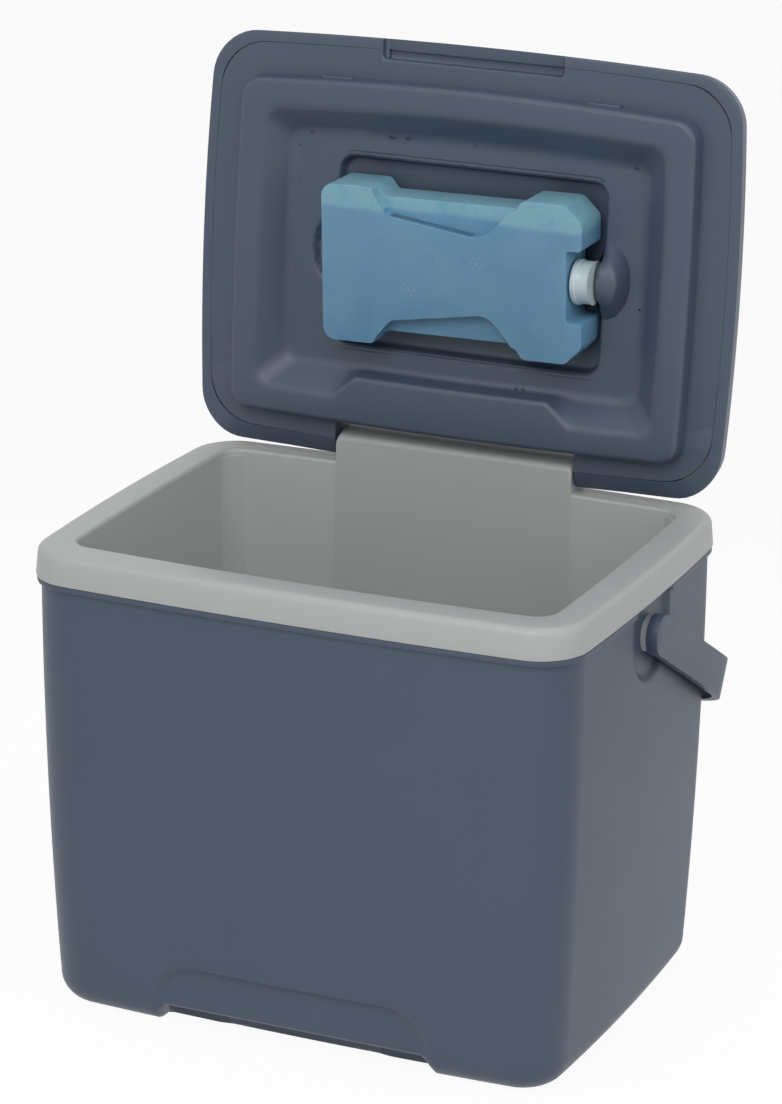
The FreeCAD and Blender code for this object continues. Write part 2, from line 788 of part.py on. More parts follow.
def grip_space(name, grow):
    """The finger recess under the lid's front edge."""
    half = c.grip_half + grow
    return box(name, (-half, -lid_depth, c.rim_top - PAST),
               (half, -(grip_line - grow), c.rim_top + c.grip_deep + grow))


def lid_outer_shell():
    form = new_body("lid_form")
    wall = c.lid_wall
    lid_stack(form, "lid_solid", size_of(0), lid_low, c.lid_low_round, c.lid_top_round)
    core = new_body("lid_core_form")
    lid_stack(core, "lid_hollow", wall, seat_top, None, c.lid_top_round - wall)
    beam = hinge_back - c.ear_round / 2
    kept = [hinge_notch("lid_notch_walls", wall), grip_space("lid_grip_walls", wall),
            box("lid_back_beam", (-lid_width, beam, c.rim_top - PAST),
                (lid_width, lid_depth, c.rim_top + PAST))]
    core = cut("lid_core", core, kept)

    seat = new_body("lid_seat")
    plan = panel_outline(seat, "lid_seat_plan", size_of(0), lid_low - 1)
    pad(seat, "lid_seat_pad", plan, c.panel_wall + 1)
    tools = [core, seat, hinge_notch("lid_notch", size_of(0)), grip_space("lid_grip", size_of(0)),
             ear_round_tool("lid_ear_round")]
    for name, side in (("left", -1), ("right", 1)):
        length = c.pin_length - c.pin_in_block + 1
        start = ear_face - 5 if side > 0 else -(ear_face + length)
        tools.append(bar(name + "_ear_bore", c.pin_radius + c.pin_clearance, start, length + 5,
                         hinge_back, axis_level))
    return piece(open_lid(cut("lid_outer_shell", form, tools)))


def panel_outline(body, name, inset, level):
    """The inner panel's plate, from the lid's front lip to just before the hinge axis."""
    front = lid_depth / 2 - c.lid_lip
    depth = front + panel_back - 2 * inset
    shift = (panel_back - front) / 2
    return bowed(body, name, lid_width - 2 * c.lid_lip - 2 * inset, depth, c.lid_corner - c.lid_lip,
                 c.lid_side_bow, c.lid_front_bow, c.rim_top + level, shift)


def plug_outline(body, name, inset, level):
    """The plug's outline, that of the storage opening less its clearance, set in further."""
    total = c.plug_gap + inset
    corner = c.opening_corner
    return bowed(body, name, opening_width - 2 * total, opening_depth - 2 * total, corner,
                 c.opening_side_bow, c.front_bow, c.rim_top + level, c.opening_shift)


def dish_space(name, grow, low, high):
    """The sloped dish under the lid, grown by grow, from level low to level high."""
    body = new_body(name)
    run = c.dish_slope / (c.plug_deep + c.dish_floor)
    first = c.plug_slope + c.crest_width + run * (low + c.plug_deep) - grow
    last = c.plug_slope + c.crest_width + run * (high + c.plug_deep) - grow
    loft(body, name + "_loft", [plug_outline(body, name + "_low", first, low),
                                plug_outline(body, name + "_high", last, high)], ruled=True)
    return body


def plateau(name, grow):
    """The raised place at the back of the dish, in front of the hinge block."""
    body = new_body(name)
    half, slope = c.plateau_half + grow, c.plateau_slope
    back = opening_depth / 2
    front = opening_depth / 2 + c.opening_shift - c.plug_gap - c.crest_width - c.plateau_reach - grow
    points = [(-half, front), (half, front), (half + slope, front + slope), (half + slope, back),
              (-half - slope, back), (-half - slope, front + slope)]
    sketch = polygon(body, name + "_plan", points, along=c.rim_top - PAST)
    pad(body, name + "_pad", sketch, 2 * PAST)
    return body


def pocket_space(name, grow, low, high):
    """The pocket for the ice brick, with rounded corners."""
    body = new_body(name)
    half_x, half_y = c.pocket_width / 2 + grow, c.pocket_height / 2 + grow
    side, back = c.pocket_side, c.pocket_front
    points = [(side - half_x, back - half_y), (side + half_x, back - half_y),
              (side + half_x, back + half_y), (side - half_x, back + half_y)]
    sketch = polygon(body, name + "_plan", points, along=c.rim_top + low)
    block = pad(body, name + "_pad", sketch, high - low)
    fillet(body, name + "_corners", block, c.pocket_corner + grow,
           lambda at, edge: abs(edge.tangentAt(edge.FirstParameter).z) > 0.9)
    return body


def round_space(name, radius, across, low, high):
    item = doc.addObject("Part::Cylinder", name)
    bind(item, "Radius", radius)
    bind(item, "Height", high - low)
    bind(item, "Placement.Base.x", across)
    bind(item, "Placement.Base.y", c.pocket_front)
    bind(item, "Placement.Base.z", c.rim_top + low)
    return item


def brick_stop():
    """The tall rounded boss beside the pocket that the brick's cap rests against."""
    body = new_body("brick_stop")
    side = c.pocket_side + c.pocket_width / 2 + c.stop_gap
    top = -c.stop_height
    levels = ((c.stop_radius, size_of(1), side, c.stop_side + 2, c.dish_floor + 1),
              (c.stop_radius * 0.68, c.stop_side * 0.44, side + c.stop_side * 0.44,
               c.stop_side * 0.56, top + c.stop_round),
              (c.stop_radius * 0.6, c.stop_side * 0.34, side + c.stop_side * 0.44,
               c.stop_side * 0.44, top))
    sketches = []
    for index, (half, left_bow, across, right_bow, level) in enumerate(levels):
        sketch = new_sketch(body, "stop_outline%d" % index, "XY_Plane", c.rim_top + level, c.pocket_front)
        vector = FreeCAD.Vector
        x_at, reach = across.value, half.value
        low, high = vector(x_at, -reach, 0), vector(x_at, reach, 0)
        right = vector(x_at + right_bow.value, 0, 0)
        left = vector(x_at - left_bow.value, 0, 0)
        sketch.addGeometry(Part.Arc(low, right, high), False)
        sketch.addGeometry(Part.Arc(high, left, low), False)
        sketch.addConstraint(Sketcher.Constraint("Coincident", 0, 2, 1, 1))
        sketch.addConstraint(Sketcher.Constraint("Coincident", 1, 2, 0, 1))
        limit(sketch, "DistanceX", (-1, 1, 0, 1), across)
        limit(sketch, "DistanceY", (-1, 1, 0, 1), -half)
        limit(sketch, "DistanceX", (-1, 1, 0, 2), across)
        limit(sketch, "DistanceY", (-1, 1, 0, 2), half)
        limit(sketch, "Radius", (0,), arc_radius(half, right_bow))
        limit(sketch, "Radius", (1,), arc_radius(half, left_bow))
        sketches.append(sketch)
    loft(body, "stop_loft", sketches, ruled=True)
    return body


def lid_inner_panel():
    wall = c.panel_wall
    form = new_body("panel_form")
    plan = panel_outline(form, "panel_plan", c.foam_gap / 2, lid_low)
    pad(form, "panel_plate", plan, wall)
    places = [(0, seat_top)] + rounding(c.plug_slope, -c.plug_deep, c.plug_round, up=False)
    stack(form, "plug", plug_outline, places)
    loft(form, "crest_hollow", [
        plug_outline(form, "hollow_top", wall, seat_top + 1),
        plug_outline(form, "hollow_high", wall + c.plug_slope, 3 - c.plug_deep + wall),
        plug_outline(form, "hollow_low", wall + c.plug_slope + 3, wall - c.plug_deep)], cut=True, ruled=True)
    under = dish_space("dish_under", wall, wall - c.plug_deep - 1, c.dish_floor + wall)
    pocket_under = pocket_space("pocket_under", wall, c.dish_floor, c.pocket_floor + wall)
    scoop_under = round_space("scoop_under", c.scoop_radius + wall, c.pocket_side - c.scoop_side,
                              c.dish_floor, c.scoop_floor + wall)
    hill = common("plateau_hill", dish_space("plateau_under", wall, wall - c.plug_deep - 1,
                                             c.dish_floor + wall), plateau("plateau_under_plan", wall))
    marks = []
    face = opening_depth / 2 - c.opening_shift - c.plug_gap
    sag = c.front_bow * (c.detent_side * c.detent_side) / (opening_width * opening_width / 4)
    for name, side in (("left", -1), ("right", 1)):
        middle = c.detent_side * side
        marks.append(box(name + "_catch_mark",
                         (middle - c.detent_width / 2, -(face - sag + c.detent_size), c.rim_top - c.detent_tall),
                         (middle + c.detent_width / 2, 4 - (face - sag), c.rim_top + lid_low + 1)))
    boss = brick_stop()
    solid = fuse("panel_solid", [form, under, pocket_under, scoop_under, hill, boss] + marks)
    dish = cut("dish", dish_space("dish_upper", size_of(0), -c.plug_deep - 1, c.dish_floor),
               [plateau("plateau_plan", size_of(0))])
    half_dish = cut("dish_left_of_stop", dish, [boss])
    tools = [half_dish, pocket_space("pocket", size_of(0), c.dish_floor - 1, c.pocket_floor),
             round_space("scoop", c.scoop_radius, c.pocket_side - c.scoop_side, c.dish_floor - 1,
                         c.scoop_floor),
             hinge_notch("panel_notch", size_of(0)), panel_grip()]
    return piece(open_lid(cut("lid_inner_panel", solid, tools)))


def panel_grip():
    """Cuts the plate back where the lid shell's own walls form the finger recess."""
    half = c.grip_half + c.lid_wall + c.foam_gap / 2
    return box("panel_grip", (-half, -lid_depth, c.rim_top - PAST),
               (half, -(grip_line - c.lid_wall - c.foam_gap / 2), c.rim_top + PAST))


def lid_foam():
    form = new_body("lid_foam_form")
    wall = c.lid_wall + c.foam_gap
    low = seat_top + c.foam_gap
    lid_stack(form, "lid_foam_solid", wall, low, None, c.lid_top_round - wall)
    grow = c.panel_wall + c.foam_gap
    beam = hinge_back - c.ear_round / 2 - c.foam_gap
    tools = [
        dish_space("foam_dish", grow, low - 1, c.dish_floor + grow),
        pocket_space("foam_pocket", grow, c.dish_floor, c.pocket_floor + grow),
        round_space("foam_scoop", c.scoop_radius + grow, c.pocket_side - c.scoop_side, c.dish_floor,
                    c.scoop_floor + grow),
        hinge_notch("foam_notch", wall), grip_space("foam_grip", wall),
        box("foam_beam", (-lid_width, beam, c.rim_top - PAST), (lid_width, lid_depth, c.rim_top + PAST)),
    ]
    return piece(open_lid(cut("lid_foam", form, tools)))


def place_handle(item):
    turn = c.handle_angle
    item.Placement = FreeCAD.Placement(FreeCAD.Vector(), FreeCAD.Rotation(X_AXIS, -turn.value))
    bind(item, "Placement.Rotation.Angle", -turn)
    bind(item, "Placement.Base.y", c.pivot_back)
    bind(item, "Placement.Base.z", pivot_height)
    return item


def handle_band(body, name, inset, thick, extra):
    """The plan of the strap: two arms and a crossbar with round corners."""
    sketch = new_sketch(body, name, "XY_Plane")
    out = handle_face - inset
    reach = handle_reach - inset
    outer_round = c.handle_corner - inset
    vector = FreeCAD.Vector
    rows = ((out, reach, outer_round), (out - thick, reach - thick, outer_round - thick))
    for index, (across, along, turn) in enumerate(rows):
        x, y, r = across.value, along.value, turn.value
        first = index * 5
        lines = ((vector(x, -extra, 0), vector(x, y - r, 0)), (vector(x - r, y, 0), vector(r - x, y, 0)),
                 (vector(-x, y - r, 0), vector(-x, -extra, 0)))
        for start, end in lines:
            sketch.addGeometry(Part.LineSegment(start, end), False)
        ring = Part.Circle(vector(x - r, y - r, 0), Z_AXIS, r)
        sketch.addGeometry(Part.ArcOfCircle(ring, 0, math.pi / 2), False)
        ring = Part.Circle(vector(r - x, y - r, 0), Z_AXIS, r)
        sketch.addGeometry(Part.ArcOfCircle(ring, math.pi / 2, math.pi), False)
        for one, two in ((0, 3), (3, 1), (1, 4), (4, 2)):
            sketch.addConstraint(Sketcher.Constraint("Tangent", first + one, 2, first + two, 1))
        sketch.addConstraint(Sketcher.Constraint("Vertical", first))
        sketch.addConstraint(Sketcher.Constraint("Horizontal", first + 1))
        sketch.addConstraint(Sketcher.Constraint("Vertical", first + 2))
        limit(sketch, "DistanceX", (-1, 1, first, 1), across)
        limit(sketch, "DistanceX", (-1, 1, first + 2, 1), -across)
        limit(sketch, "DistanceY", (-1, 1, first + 1, 1), along)
        limit(sketch, "Radius", (first + 3,), turn)
        limit(sketch, "Radius", (first + 4,), turn)
        limit(sketch, "DistanceY", (-1, 1, first, 1), -extra)
        limit(sketch, "DistanceY", (-1, 1, first + 2, 2), -extra)
    ends = ((0, 1, 5, 1), (7, 2, 2, 2))
    out, into = rows[0][0].value, rows[1][0].value
    sketch.addGeometry(Part.LineSegment(vector(into, -extra, 0), vector(out, -extra, 0)), False)
    sketch.addGeometry(Part.LineSegment(vector(-out, -extra, 0), vector(-into, -extra, 0)), False)
    sketch.addConstraint(Sketcher.Constraint("Coincident", 10, 1, 5, 1))
    sketch.addConstraint(Sketcher.Constraint("Coincident", 10, 2, 0, 1))
    sketch.addConstraint(Sketcher.Constraint("Coincident", 11, 1, 2, 2))
    sketch.addConstraint(Sketcher.Constraint("Coincident", 11, 2, 7, 2))
    return sketch


def handle():
    body = new_body("handle_form")
    half = c.handle_width / 2
    band = handle_band(body, "handle_plan", size_of(0), c.handle_depth, 0)
    pad(body, "handle_strap", band, c.handle_width, middle=True)
    hollow = handle_band(body, "handle_hollow_plan", c.handle_wall, c.handle_depth, 0)
    pad(body, "handle_hollow", hollow, c.handle_width - 2 * c.handle_wall, middle=True, cut=True)
    for name, side in (("left", -1), ("right", 1)):
        disc = circle(body, "handle_%s_disc" % name, half, "YZ_Plane", hub_face * side)
        last = pad(body, "handle_%s_end" % name, disc, handle_face - hub_face, reverse=side < 0)
    outside = handle_face.value
    reach = handle_reach.value
    width = half.value

    def long_edge(at, edge):
        on_face = abs(abs(at.x) - outside) < 0.01 or abs(at.y - reach) < 0.01
        corner = at.y > reach - c.handle_corner.value and at.x ** 2 > 0
        around = math.hypot(abs(at.x) - (outside - c.handle_corner.value),
                            at.y - (reach - c.handle_corner.value))
        on_corner = corner and abs(around - c.handle_corner.value) < 0.01
        return (on_face or on_corner) and (abs(abs(at.z) - width) < 0.01 or at.y < 0)

    fillet(body, "handle_edges", last, c.handle_edge, long_edge)
    seats = []
    for name, side in (("left", -1), ("right", 1)):
        start = hub_face - 5 if side > 0 else -(hub_face + c.stud_grip)
        seats.append(bar(name + "_stud_seat", c.stud_radius, start, c.stud_grip + 5, 0, 0))
    return piece(place_handle(cut("handle", body, seats)))


def handle_pivots():
    """Studs pushed through the shell wall from inside, and the flanged bushes that they turn in."""
    inner_face = recess_floor - c.shell_wall
    for name, side in (("left", -1), ("right", 1)):
        head_start = inner_face - c.foam_gap / 2 - c.stud_head_thick
        length = hub_face + c.stud_grip - head_start
        start = head_start if side > 0 else -(head_start + length)
        shaft = bar(name + "_stud_shaft", c.stud_radius, start, length, c.pivot_back, pivot_height)
        start = head_start if side > 0 else -(head_start + c.stud_head_thick)
        head = bar(name + "_stud_head", c.stud_head, start, c.stud_head_thick, c.pivot_back, pivot_height)
        stud = fuse("handle_stud_" + name, [shaft, head])
        stud.Label = "handle_stud_" + name
        piece(stud)
        outside = c.stud_radius + c.bush_clearance + c.bush_wall
        end = hub_face - c.bush_clearance
        start = inner_face if side > 0 else -end
        sleeve = bar(name + "_bush_sleeve", outside, start, end - inner_face, c.pivot_back, pivot_height)
        start = recess_floor if side > 0 else -end
        flange = bar(name + "_bush_flange", c.bush_flange, start, end - recess_floor,
                     c.pivot_back, pivot_height)
        start = inner_face - 5 if side > 0 else -(end + 5)
        bore = bar(name + "_bush_bore", c.stud_radius + c.bush_clearance, start, end - inner_face + 10,
                   c.pivot_back, pivot_height)
        piece(cut("handle_bush_" + name, fuse(name + "_bush_form", [sleeve, flange]), [bore]))


def place_brick(item):
    """The brick hangs upright in the open lid. It is drawn lying, front face down."""
    upright = FreeCAD.Rotation(X_AXIS, -90)
    roll = FreeCAD.Rotation(Y_AXIS, -c.brick_roll.value)
    item.Placement = FreeCAD.Placement(FreeCAD.Vector(), roll.multiply(upright))
    bind(item, "Placement.Base.x", c.brick_side)
    bind(item, "Placement.Base.y", brick_front)
    bind(item, "Placement.Base.z", brick_centre)
    return item


def brick_plan(body, name, inset):
    """The brick's outline: two full ends, a waist, and a notch for the cap on the right."""
    right, high = c.brick_length / 2 - inset, c.brick_height / 2 - inset
    left = -right
    waist = c.brick_height / 2 - c.waist_inset - inset
    left_in, right_in = left + c.end_left - inset, right - c.end_right + inset
    slope, chamfer = c.end_slope, c.brick_chamfer
    notch, notch_deep = c.cap_notch + inset, right - c.cap_notch_deep
    upper = [(notch_deep, notch), (right, notch), (right, high - chamfer), (right - chamfer, high),
             (right_in, high), (right_in - slope, waist), (left_in + slope, waist), (left_in, high),
             (left, high)]
    lower = [(across, -up) for across, up in reversed(upper)]
    return polygon(body, name, upper + lower)


def strip_tool(name, side, grow):
    """Takes the front of the waist back, between the plateau's slanted edge and the outline."""
    body = new_body(name)
    left, right = -c.brick_length / 2, c.brick_length / 2
    high = c.brick_height / 2 + 1
    points = [(left + c.end_left, high), (left + c.strip_start, high - 1 - c.strip_left),
              (c.strip_end, high - 1 - c.strip_right), (c.strip_rise, high - 1 - c.strip_right + 5),
              (right - c.end_right, high)]
    points = [(across, up * side) for across, up in points]
    if side < 0:
        points = points[::-1]
    sketch = polygon(body, name + "_outline", points, along=-1)
    pad(body, name + "_pad", sketch, c.strip_deep + 1 + grow)
    return body


def ice_brick():
    form = new_body("brick_form")
    outline = brick_plan(form, "brick_outline", size_of(0))
    slab = pad(form, "brick_slab", outline, c.brick_thick)
    left = -c.brick_length / 2
    fillet(form, "brick_corners", slab, c.brick_corner,
           lambda at, edge: abs(at.x - left.value) < 0.01 and abs(edge.tangentAt(edge.FirstParameter).z) > 0.9)
    wall = c.brick_wall
    hollow = new_body("brick_hollow_form")
    plan = brick_plan(hollow, "brick_hollow_outline", wall)
    pad(hollow, "brick_hollow_slab", plan, c.brick_thick - 2 * wall)
    lift(hollow, wall)
    half = c.brick_height / 2
    cavity = cut("brick_cavity", hollow,
                 [strip_tool("strip_room_upper", 1, wall), strip_tool("strip_room_lower", -1, wall)])
    middle = c.brick_thick / 2
    neck_start = c.brick_length / 2 - c.cap_notch_deep - wall
    neck_end = c.brick_length / 2 + c.cap_out - c.seal_thick - wall
    neck = bar("brick_neck", c.neck_radius, neck_start, neck_end - neck_start, 0, middle)
    bore = bar("brick_neck_bore", c.neck_radius - wall, neck_start - wall, neck_end - neck_start + 2 * wall,
               0, middle)
    body = cut("brick_body", form, [strip_tool("strip_upper", 1, size_of(0)),
                                    strip_tool("strip_lower", -1, size_of(0))])
    shell = cut("ice_brick_shell", fuse("brick_with_neck", [body, neck]), [cavity, bore])
    piece(place_brick(shell))

    inset = wall + c.gel_clearance
    gel = new_body("gel_form")
    pad(gel, "gel_slab", brick_plan(gel, "gel_outline", inset), c.brick_thick - 2 * inset)
    lift(gel, inset)
    grow = wall + c.gel_clearance
    air = box("gel_air", (-c.brick_length, -(half + 1), -1),
              (c.brick_length, c.gel_gap - half, c.brick_thick + 1))
    gel_cut = cut("ice_gel", gel, [strip_tool("gel_upper", 1, grow), strip_tool("gel_lower", -1, grow), air])
    piece(place_brick(gel_cut))

    cap_end = c.brick_length / 2 + c.cap_out
    cap_start = cap_end - c.cap_length
    outer = bar("cap_outer", c.cap_radius, cap_start, c.cap_length, 0, middle)
    room = bar("cap_room", c.neck_radius + c.gel_clearance, cap_start - 1,
               c.cap_length + 1 - wall, 0, middle)
    piece(place_brick(cut("ice_brick_cap", outer, [room])))
    disc = new_body("cap_seal_form")
    outline = circle(disc, "cap_seal_outline", c.neck_radius - c.gel_clearance, "YZ_Plane",
                     cap_end - wall - c.seal_thick, 0, middle)
    pad(disc, "cap_seal_pad", outline, c.seal_thick)
    disc.Label = "cap_seal"
    piece(place_brick(disc))


def lift(body, level):
    bind(body, "Placement.Base.z", level)


outer_shell()
inner_liner()
hinge_pins()
foam_panels()
lid_outer_shell()
lid_inner_panel()
lid_foam()
handle()
handle_pivots()
ice_brick()
doc.recompute()

faults = [item.Name for item in doc.Objects if "Invalid" in item.State or "Error" in item.State]
if faults:
    raise RuntimeError("failed features: " + ", ".join(faults))
for item in PIECES:
    shape = item.Shape
    if shape.isNull() or not shape.isValid() or not shape.Solids:
        raise RuntimeError("bad shape: " + item.Label)

os.makedirs("parts", exist_ok=True)
for item in PIECES:
    item.Shape.exportStep("parts/%s.step" % item.Label)
    bounds = item.Shape.BoundBox
    print("%-20s %d solid %10.0f mm3  x %.1f..%.1f y %.1f..%.1f z %.1f..%.1f" % (
        item.Label, len(item.Shape.Solids), item.Shape.Volume, bounds.XMin, bounds.XMax,
        bounds.YMin, bounds.YMax, bounds.ZMin, bounds.ZMax))
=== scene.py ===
import bmesh
import bpy
import math
from mathutils import Matrix, Vector


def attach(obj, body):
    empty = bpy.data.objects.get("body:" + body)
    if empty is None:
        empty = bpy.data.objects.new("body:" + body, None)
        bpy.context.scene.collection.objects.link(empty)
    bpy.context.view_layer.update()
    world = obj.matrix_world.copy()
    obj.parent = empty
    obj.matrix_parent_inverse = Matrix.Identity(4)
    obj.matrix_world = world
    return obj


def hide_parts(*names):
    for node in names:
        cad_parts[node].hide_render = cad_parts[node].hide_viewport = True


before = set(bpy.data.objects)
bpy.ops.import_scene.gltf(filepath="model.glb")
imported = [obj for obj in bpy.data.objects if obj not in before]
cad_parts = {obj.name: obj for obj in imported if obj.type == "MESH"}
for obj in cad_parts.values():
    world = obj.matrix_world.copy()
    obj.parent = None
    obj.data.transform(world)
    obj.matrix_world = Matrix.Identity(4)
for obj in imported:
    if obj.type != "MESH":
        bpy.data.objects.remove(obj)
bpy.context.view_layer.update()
mm = 0.001
bpy.ops.object.select_all(action="DESELECT")
print("frame loaded")

# Camera, where the photograph was taken from. Lengths are in millimetres, angles in degrees.
photoView = {"turn": 24.0, "rise": 18.71, "roll": 0.48, "distance": 2563.1, "aside": 7.53,
             "aim": 281.25, "focus": 4216.03, "high": 1104}


def placeCamera(view):
    turn, rise, roll = (math.radians(view[key]) for key in ("turn", "rise", "roll"))
    back = Vector((math.sin(turn) * math.cos(rise), -math.cos(turn) * math.cos(rise), math.sin(rise)))
    right = Vector((math.cos(turn), math.sin(turn), 0))
    up = back.cross(right)
    across = right * math.cos(roll) + up * math.sin(roll)
    above = up * math.cos(roll) - right * math.sin(roll)
    bpy.ops.object.camera_add()
    camera = bpy.context.object
    camera.data.sensor_width = 36
    camera.data.lens = view["focus"] / view["high"] * 36
    camera.data.clip_end = 50
    camera.matrix_world = Matrix((across, above, back)).transposed().to_4x4()
    camera.location = (Vector((0, 0, view["aim"])) + back * view["distance"] + across * view["aside"]) * mm
    bpy.context.scene.camera = camera


placeCamera(photoView)
print("camera placed")


# Tools for modelling

def softStep(value):
    value = max(0.0, min(1.0, value))
    return value * value * (3 - 2 * value)


def mixed(first, second, share):
    return first + (second - first) * share


def choose(piece, kind, test):
    """selects the faces, edges or corners that pass the test, in edit mode"""
    bpy.ops.mesh.select_mode(type=kind)
    bpy.ops.mesh.select_all(action="DESELECT")
    mesh = bmesh.from_edit_mesh(piece.data)
    mesh.normal_update()
    for part in {"VERT": mesh.verts, "EDGE": mesh.edges, "FACE": mesh.faces}[kind]:
        if test(part):
            part.select_set(True)
    mesh.select_flush_mode()
    bmesh.update_edit_mesh(piece.data)


def spot(corner):
    return tuple(round(value, 6) for value in corner.co)


def loopHere(piece):
    """the places of the selected corners, to find their loop again later"""
    mesh = bmesh.from_edit_mesh(piece.data)
    return {spot(corner) for corner in mesh.verts if corner.select}


def chooseLoop(piece, loop):
    choose(piece, "EDGE", lambda edge: all(spot(corner) in loop for corner in edge.verts))


def roundLoop(piece, loop, size, steps):
    chooseLoop(piece, loop)
    bpy.ops.mesh.bevel(offset=size * mm, segments=steps, affect="EDGES")


def moveCorners(piece, change):
    """gives each corner the place in millimetres that change returns for it"""
    mesh = bmesh.from_edit_mesh(piece.data)
    for corner in mesh.verts:
        corner.co = Vector(change(*(corner.co / mm))) * mm
    bmesh.update_edit_mesh(piece.data)


def edit(piece):
    if bpy.context.mode != "OBJECT":
        bpy.ops.object.mode_set(mode="OBJECT")
    bpy.ops.object.select_all(action="DESELECT")
    piece.select_set(True)
    bpy.context.view_layer.objects.active = piece
    bpy.ops.object.mode_set(mode="EDIT")


def leaveEdit():
    bpy.ops.object.mode_set(mode="OBJECT")


def addOutline(name, form, level):
    """draws a closed loop with round corners and bowed sides, and leaves it selected in edit mode"""
    width, depth = form["size"]
    sideBow, frontBow = form.get("bows", (0, 0))
    backOut, backBow = form.get("back", (0, frontBow))  # how far the back is moved out, and its own bow
    centreX, centreY = form.get("centre", (0, 0))
    bpy.ops.object.select_all(action="DESELECT")
    bpy.ops.mesh.primitive_plane_add(size=1)
    piece = bpy.context.object
    piece.name = piece.data.name = name
    piece.scale = ((width - 2 * sideBow) * mm, (depth - 2 * frontBow) * mm, 1)
    bpy.ops.object.transform_apply(location=False, rotation=False, scale=True)
    bpy.ops.object.mode_set(mode="EDIT")
    bpy.ops.mesh.select_mode(type="VERT")
    bpy.ops.mesh.select_all(action="SELECT")
    bpy.ops.mesh.bevel(offset=form["corner"] * mm, segments=10, affect="VERTICES")
    bpy.ops.mesh.select_all(action="SELECT")
    bpy.ops.mesh.delete(type="ONLY_FACE")
    for axis, cuts in enumerate(form["steps"]):
        choose(piece, "EDGE", lambda edge: abs(edge.verts[0].co[axis] - edge.verts[1].co[axis]) > 0.04)
        bpy.ops.mesh.subdivide(number_cuts=cuts)
    halfX, halfY = width / 2, depth / 2

    def bow(x, y, z):
        bowedX = x * (1 + sideBow / (halfX - sideBow) * (1 - (y / halfY) ** 2))
        out, swell = (backOut, backBow) if y > 0 else (0, frontBow)
        bowedY = y * (1 + (out + swell * (1 - (x / halfX) ** 2)) / (halfY - frontBow))
        return bowedX + centreX, bowedY + centreY, level

    moveCorners(piece, bow)
    bpy.ops.mesh.select_mode(type="EDGE")
    bpy.ops.mesh.select_all(action="SELECT")
    return piece


def drawRings(piece, here, rings, centre=(0, 0)):
    """extrudes what is selected through rings of width, depth, level and shift to the back"""
    loops = []
    width, depth, level, shift = (*here, 0)[:4]
    for ring in rings:
        newWidth, newDepth, newLevel, newShift = (*ring, shift)[:4]
        move = (0, (newShift - shift) * mm, (newLevel - level) * mm)
        bpy.ops.mesh.extrude_region_move(TRANSFORM_OT_translate={"value": move})
        bpy.ops.transform.resize(value=(newWidth / width, newDepth / depth, 1),
                                 center_override=(centre[0] * mm, (centre[1] + newShift) * mm, 0))
        loops.append(loopHere(piece))
        width, depth, level, shift = newWidth, newDepth, newLevel, newShift
    return loops


def fillLoop(piece, loop):
    chooseLoop(piece, loop)
    bpy.ops.mesh.edge_face_add()


def bridge(piece, first, second, cuts=0):
    """joins two loops that have as many corners, with rows of corners between them"""
    mesh = bmesh.from_edit_mesh(piece.data)
    rows = []
    for loop in (first, second):
        corners = [corner for corner in mesh.verts if spot(corner) in loop]
        middle = sum((corner.co for corner in corners), Vector()) / len(corners)
        corners.sort(key=lambda corner: math.atan2(corner.co.y - middle.y, corner.co.x - middle.x))
        rows.append(corners)
    start, end = rows
    for step in range(1, cuts + 1):
        rows.insert(-1, [mesh.verts.new(a.co.lerp(b.co, step / (cuts + 1))) for a, b in zip(start, end)])
    for low, high in zip(rows, rows[1:]):
        for index, corner in enumerate(low):
            after = (index + 1) % len(low)
            mesh.faces.new((corner, low[after], high[after], high[index]))
    bmesh.update_edit_mesh(piece.data)
    bpy.ops.mesh.select_all(action="SELECT")
    bpy.ops.mesh.normals_make_consistent(inside=False)


def joinInto(piece, *others):
    if bpy.context.mode != "OBJECT":
        leaveEdit()
    bpy.ops.object.select_all(action="DESELECT")
    for other in others:
        other.select_set(True)
    piece.select_set(True)
    bpy.context.view_layer.objects.active = piece
    bpy.ops.object.join()
    return piece


def closeUp(piece):
    """merges doubles and turns the faces outwards"""
    bpy.ops.mesh.select_mode(type="VERT")
    bpy.ops.mesh.select_all(action="SELECT")
    bpy.ops.mesh.remove_doubles(threshold=0.000002)
    bpy.ops.mesh.normals_make_consistent(inside=False)
    leaveEdit()


def useModifier(piece, kind, **settings):
    bpy.context.view_layer.objects.active = piece
    change = piece.modifiers.new(kind.title(), kind)
    for key, value in settings.items():
        setattr(change, key, value)
    bpy.ops.object.modifier_apply(modifier=change.name)


def carve(piece, tool, how="DIFFERENCE"):
    useModifier(piece, "BOOLEAN", operation=how, object=tool, solver="EXACT")
    bpy.data.objects.remove(tool)


def addBlock(name, low, high, corner=0, edges=lambda edge: True):
    """a block between two corners, with the chosen edges rounded"""
    bpy.ops.object.select_all(action="DESELECT")
    middle = [(a + b) / 2 * mm for a, b in zip(low, high)]
    bpy.ops.mesh.primitive_cube_add(size=1, location=middle)
    block = bpy.context.object
    block.name = block.data.name = name
    block.scale = [(b - a) * mm for a, b in zip(low, high)]
    bpy.ops.object.transform_apply(location=True, rotation=False, scale=True)
    if corner:
        edit(block)
        choose(block, "EDGE", edges)
        bpy.ops.mesh.bevel(offset=corner * mm, segments=5, affect="EDGES")
        leaveEdit()
    return block


def upright(edge):
    return abs(edge.verts[0].co.z - edge.verts[1].co.z) > 0.001


def addShape(name, points, plane="XY"):
    """a face through points in millimetres, on the floor plane or facing the front"""
    bpy.ops.object.select_all(action="DESELECT")
    bpy.ops.mesh.primitive_circle_add(vertices=len(points), radius=0.05, fill_type="NGON")
    piece = bpy.context.object
    piece.name = piece.data.name = name
    for corner, (across, up) in zip(piece.data.vertices, points):
        corner.co = Vector((across, up, 0) if plane == "XY" else (across, 0, up)) * mm
    piece.data.update()
    return piece


